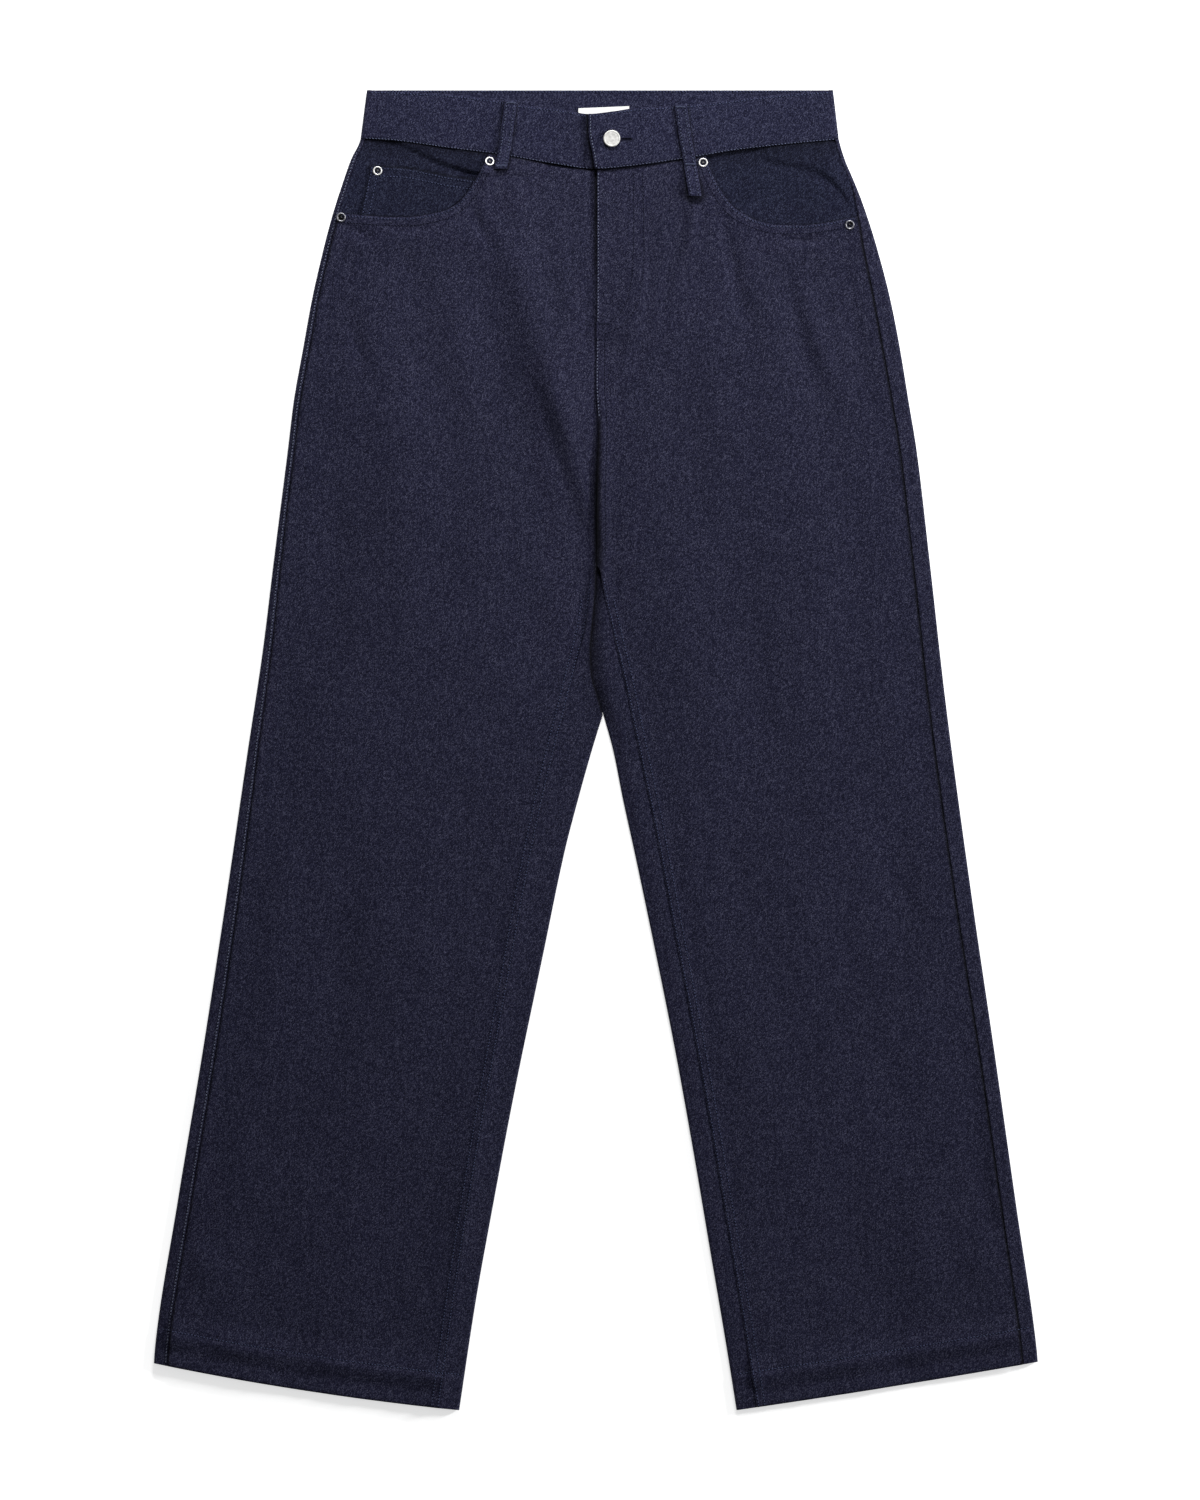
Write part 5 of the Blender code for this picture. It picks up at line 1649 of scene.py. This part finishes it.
def denim(name, tint):
    """Raw indigo denim: twill lines, uneven warp, pale flecks of weft, soft clouds of tone, and the
    mesh's painted shade.
    """
    material, tree, shader = new_material(name)
    cells = yarn_cells(tree)
    fine = noise(tree, GRAIN_SCALE, 0.0)
    slub = math_node(tree, "SUBTRACT", noise(tree, SLUB_SCALE, 1.0), 0.5)
    mixed = weighted(tree, cells, 0.62, fine, 0.38)
    yarn = math_node(tree, "ADD", mixed, math_node(tree, "MULTIPLY", slub, 0.12))
    twill = twill_lines(tree)
    woven = multiplied(tree, ramp(tree, yarn, YARN_COLOURS), ramp(tree, twill, TWILL_TONES))
    darker, lighter = tones(tint, *CLOUD_TONES)
    clouds = ramp(tree, noise(tree, CLOUD_SCALE, 1.0), ((0.3, darker), (0.7, lighter)))
    # Painted shade: the mesh's shade attribute darkens the cloth beside seams, laps and edges.
    colour = shaded(tree, multiplied(tree, woven, clouds))
    tree.links.new(colour, shader.inputs["Base Color"])
    add_bump(tree, shader, weighted(tree, twill, 0.6, yarn, 1.4), 0.55, 0.00035)
    set_inputs(shader, Roughness=0.86, Specular_IOR_Level=0.10, Sheen_Weight=0.03,
               Sheen_Roughness=0.5, Sheen_Tint=(0.62, 0.66, 0.85, 1.0))
    return material


def thread_material(name, colour):
    """Twisted sewing thread."""
    material, tree, shader = new_material(name)
    ply = noise(tree, PLY_SCALE, 1.0, 0.5)
    darker, lighter = tones(colour, 0.55, 1.35)
    tree.links.new(ramp(tree, ply, ((0.3, darker), (0.7, lighter))), shader.inputs["Base Color"])
    add_bump(tree, shader, ply, 0.4, 0.0001)
    set_inputs(shader, Roughness=0.7, Specular_IOR_Level=0.12)
    return material


def metal(name, colour, roughness, metallic):
    """Plated metal with dull and worn patches."""
    material, tree, shader = new_material(name)
    worn = noise(tree, WEAR_SCALE, 3.0)
    darker, plain_tone = tones(colour, 0.72, 1.0)
    patches = ramp(tree, worn, ((0.3, darker), (0.65, plain_tone)))
    # The rings' painted shade darkens the worn patches.
    tree.links.new(shaded(tree, patches), shader.inputs["Base Color"])
    uneven = math_node(tree, "MULTIPLY", worn, 0.22)
    rough = math_node(tree, "ADD", uneven, roughness - 0.11)
    tree.links.new(rough, shader.inputs["Roughness"])
    set_inputs(shader, Metallic=metallic)
    add_bump(tree, shader, worn, 0.15, 0.0001)
    return material


def tape(name):
    """White woven tape with fine ribs."""
    material, tree, shader = new_material(name)
    ribs = noise(tree, RIB_SCALE, 1.0)
    tree.links.new(ramp(tree, ribs, TAPE_COLOURS), shader.inputs["Base Color"])
    add_bump(tree, shader, ribs, 0.3, 0.0001)
    set_inputs(shader, Roughness=0.7)
    return material


def plain(name, colour, roughness, specular=0.5):
    material, _, shader = new_material(name)
    set_inputs(shader, Base_Color=(*colour, 1.0), Roughness=roughness, Specular_IOR_Level=specular)
    return material


# ---------------------------------------------------------------- stage

CAMERA_DISTANCE = 9.0
VIEW_WIDTH = 0.984
VIEW_CENTRE = (0.0037, 0.0001)
PHOTO_WIDTH = 1200
PHOTO_HEIGHT = 1500
SENSOR = 24.0
# Corners of the floor in millimetres, just under the cloth.
FLOOR_X = (-4e3, 4e3, 4e3, -4e3)
FLOOR_DOWN = (4.5e3, 4.5e3, -3.5e3, -3.5e3)
FLOOR_HEIGHT = -0.3
# The paper's own glow at two distances from the middle, in metres.
GLOW_RADII = (0.52, 0.80)
FLOOR_GLOW = (0.56, 0.64)
# Lights: place, size and power.
LIGHT_TARGET = Vector((0.0, 0.1, 0.0))
LIGHTS = {
    "key": ((0.1, 1.75, 0.95), (0.6, 0.3), 36),
    "side": ((3.2, 1.05, 1.45), (0.45, 0.9), 122),
}
SKY_COLOUR = (0.98, 0.99, 1.0, 1.0)
SKY_STRENGTH = 0.2


def floor_material():
    """White paper that stays white towards the picture's corners, where less light falls."""
    material = plain("floor_white", (0.93, 0.93, 0.93), 0.9)
    tree = material.node_tree
    shader = tree.nodes["Principled BSDF"]
    where = tree.nodes.new("ShaderNodeTexCoord")
    radius = tree.nodes.new("ShaderNodeVectorMath")
    radius.operation = "LENGTH"
    tree.links.new(where.outputs["Object"], radius.inputs[0])
    glow = tree.nodes.new("ShaderNodeMapRange")
    set_inputs(glow, From_Min=GLOW_RADII[0], From_Max=GLOW_RADII[1], To_Min=FLOOR_GLOW[0],
               To_Max=FLOOR_GLOW[1])
    tree.links.new(radius.outputs["Value"], glow.inputs["Value"])
    set_inputs(shader, Emission_Color=(1.0, 1.0, 1.0, 1.0))
    tree.links.new(glow.outputs["Result"], shader.inputs["Emission Strength"])
    return material


def make_camera():
    data = bpy.data.cameras.new("camera")
    data.sensor_fit = "VERTICAL"
    data.sensor_height = SENSOR
    data.lens = SENSOR * CAMERA_DISTANCE / (VIEW_WIDTH * PHOTO_HEIGHT / PHOTO_WIDTH)
    camera = bpy.data.objects.new("camera", data)
    camera.location = (*VIEW_CENTRE, CAMERA_DISTANCE)
    bpy.context.scene.collection.objects.link(camera)
    bpy.context.scene.camera = camera


def make_light(name, place, size, power):
    data = bpy.data.lights.new(name, "AREA")
    data.shape = "RECTANGLE"
    data.size, data.size_y = size
    data.energy = power
    light = bpy.data.objects.new(name, data)
    light.location = place
    light.rotation_euler = (LIGHT_TARGET - Vector(place)).to_track_quat("-Z", "Y").to_euler()
    bpy.context.scene.collection.objects.link(light)


def make_stage():
    """The floor, camera, lights and sky."""
    corners = placed(np.array(FLOOR_X), FLOOR_DOWN, FLOOR_HEIGHT)
    new_object("floor", corners, [(0, 1, 2, 3)], floor_material())
    make_camera()
    for name, (place, size, power) in LIGHTS.items():
        make_light(name, place, size, power)
    world = bpy.data.worlds.new("studio")
    world.use_nodes = True
    set_inputs(world.node_tree.nodes["Background"], Color=SKY_COLOUR, Strength=SKY_STRENGTH)
    scene = bpy.context.scene
    scene.world = world
    scene.view_settings.view_transform = "Standard"
    scene.view_settings.look = "None"


# ---------------------------------------------------------------- the whole

# The label: x of its ends, down of its upper corners, depth, thickness and height on the band.
LABEL_ENDS = (-14.0, 27.6)
LABEL_TOPS = (14.9, 13.1)
LABEL_DEPTH = 17
LABEL_THICKNESS = 0.5
LABEL_LIFT = 1.25
DULL_RIVETS = (3, 5)


def declare(piece, node):
    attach(piece, "root")
    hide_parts(node)


def declare_cloth(piece, node):
    """Say what a piece stands for."""
    declare(piece, node)


def make_panels():
    """The cloth of the legs, pockets and waistband."""
    cloth = denim("denim_cloth", (0.97, 0.99, 1.04))
    # The pocket facings and the coin pocket take a darker, bluer copy of the denim: painted shade of
    # their low place in the pocket mouths.
    shaded_facing_cloth = denim("denim_facing_shaded", (0.58, 0.67, 0.76))
    panels = []
    for leg in LEGS:
        back = "back_" + leg.word
        for make, kind, look, lies_on in ((make_back, "back", cloth, "floor"),
                                          (make_yoke, "yoke", cloth, "floor"),
                                          (make_facing, "pocket_facing", shaded_facing_cloth, back),
                                          (make_front, "front", cloth, back)):
            piece = make(leg, look)
            declare_cloth(piece, "%s_%s" % (kind, leg.word))
            panels.append(piece)
    coin = make_coin_pocket(shaded_facing_cloth)
    declare_cloth(coin, "coin_pocket")
    return panels + [coin]


def sew(ground, over_loops):
    """All rows of stitches, the buttonhole among them."""
    pale = thread_material("thread_pale", (0.125, 0.140, 0.205))
    mid = thread_material("thread_mid", (0.070, 0.080, 0.135))
    blue = thread_material("thread_blue", (0.052, 0.062, 0.122))
    tonal = thread_material("thread_tonal", (0.017, 0.018, 0.040))
    threads = []
    for name, rows, look in (("waistband", sew_band, mid), ("waistband_top", sew_band_top, blue),
                             ("waistband_end", sew_band_end, pale), ("fly", sew_fly, pale),
                             ("fly_curve", sew_tonal, tonal), ("mouths", sew_mouths, blue),
                             ("coin_pocket", sew_coin, blue), ("side_right", sew_side, pale),
                             ("back", sew_back, blue), ("loops", sew_loops, mid)):
        thread = Thread("stitches_" + name, over_loops if name == "loops" else ground, look)
        rows(thread)
        threads.append(thread)
    for leg in LEGS:
        thread = Thread("stitches_leg_" + leg.word, ground, blue)
        sew_leg(thread, leg)
        threads.append(thread)
    thread = Thread("stitches_buttonhole", ground, tonal)
    # Painted shadow of the slit's opening: a near-black sheet on the cloth.
    slit_shadow = plain("slit_shadow", (0.002, 0.002, 0.004), 1.0, 0.02)
    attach(make_buttonhole(ground, thread, slit_shadow), "root")
    threads.append(thread)
    # Painted shade of the needle holes: near-black discs beside each stitch.
    hole_shade_look = plain("needle_hole_shade", (0.0025, 0.0026, 0.0060), 1.0, 0.03)
    for thread in threads:
        for piece in thread.finished(hole_shade_look):
            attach(piece, "root")


def make_trim(ground):
    """Rivets and button."""
    steel = metal("rivet_steel", (0.92, 0.91, 0.90), 0.45, 0.6)
    dull_steel = metal("rivet_dull_steel", (0.30, 0.30, 0.33), 0.42, 0.85)
    nickel = metal("button_nickel", (0.70, 0.69, 0.67), 0.5, 0.3)
    for number, place in enumerate(RIVETS, start=1):
        spot, normal = ground.hit(*place)
        look = dull_steel if number in DULL_RIVETS else steel
        rivet = make_round("rivet_%d_cap" % number, RIVET_PROFILE, RIVET_SHADES, spot, normal,
                           RIVET_STEPS, look)
        declare(rivet, "rivet_%d" % number)
    spot, _ = ground.hit(*BUTTON_SPOT)
    button = make_round("button_cap", BUTTON_PROFILE, BUTTON_SHADES, spot, (0, 0, 1),
                        BUTTON_STEPS, nickel)
    declare(button, "button")


def make_label():
    """The bare label inside the back of the waistband."""
    share_across = np.linspace(0, 1, 24)[None, :]
    share_down = np.linspace(0, 1, 16)[:, None]
    x = LABEL_ENDS[0] + (LABEL_ENDS[1] - LABEL_ENDS[0]) * share_across
    top = LABEL_TOPS[0] + (LABEL_TOPS[1] - LABEL_TOPS[0]) * share_across
    z = BAND_CLOTH + LABEL_LIFT + 0.25 * waves(x, 12, 30, 7)
    points = placed(x, top + LABEL_DEPTH * share_down, z)
    label = shell("label_tape", points, LABEL_THICKNESS, tape("label_white"), -1)
    declare_cloth(label, "label")


def main():
    panels = make_panels()
    band_cloth = denim("denim_band", (0.97, 1.02, 1.11))
    band = make_waistband(band_cloth)
    declare_cloth(band, "waistband")
    panels.append(band)
    ground = Ground(panels)
    for leg, route in ((RIGHT_LEG, LOOP_RIGHT), (LEFT_LEG, LOOP_LEFT)):
        loop = make_loop(leg, route, ground, band_cloth)
        declare_cloth(loop, "belt_loop_" + leg.word)
        panels.append(loop)
    sew(ground, Ground(panels))
    make_trim(ground)
    make_label()
    make_stage()


main()
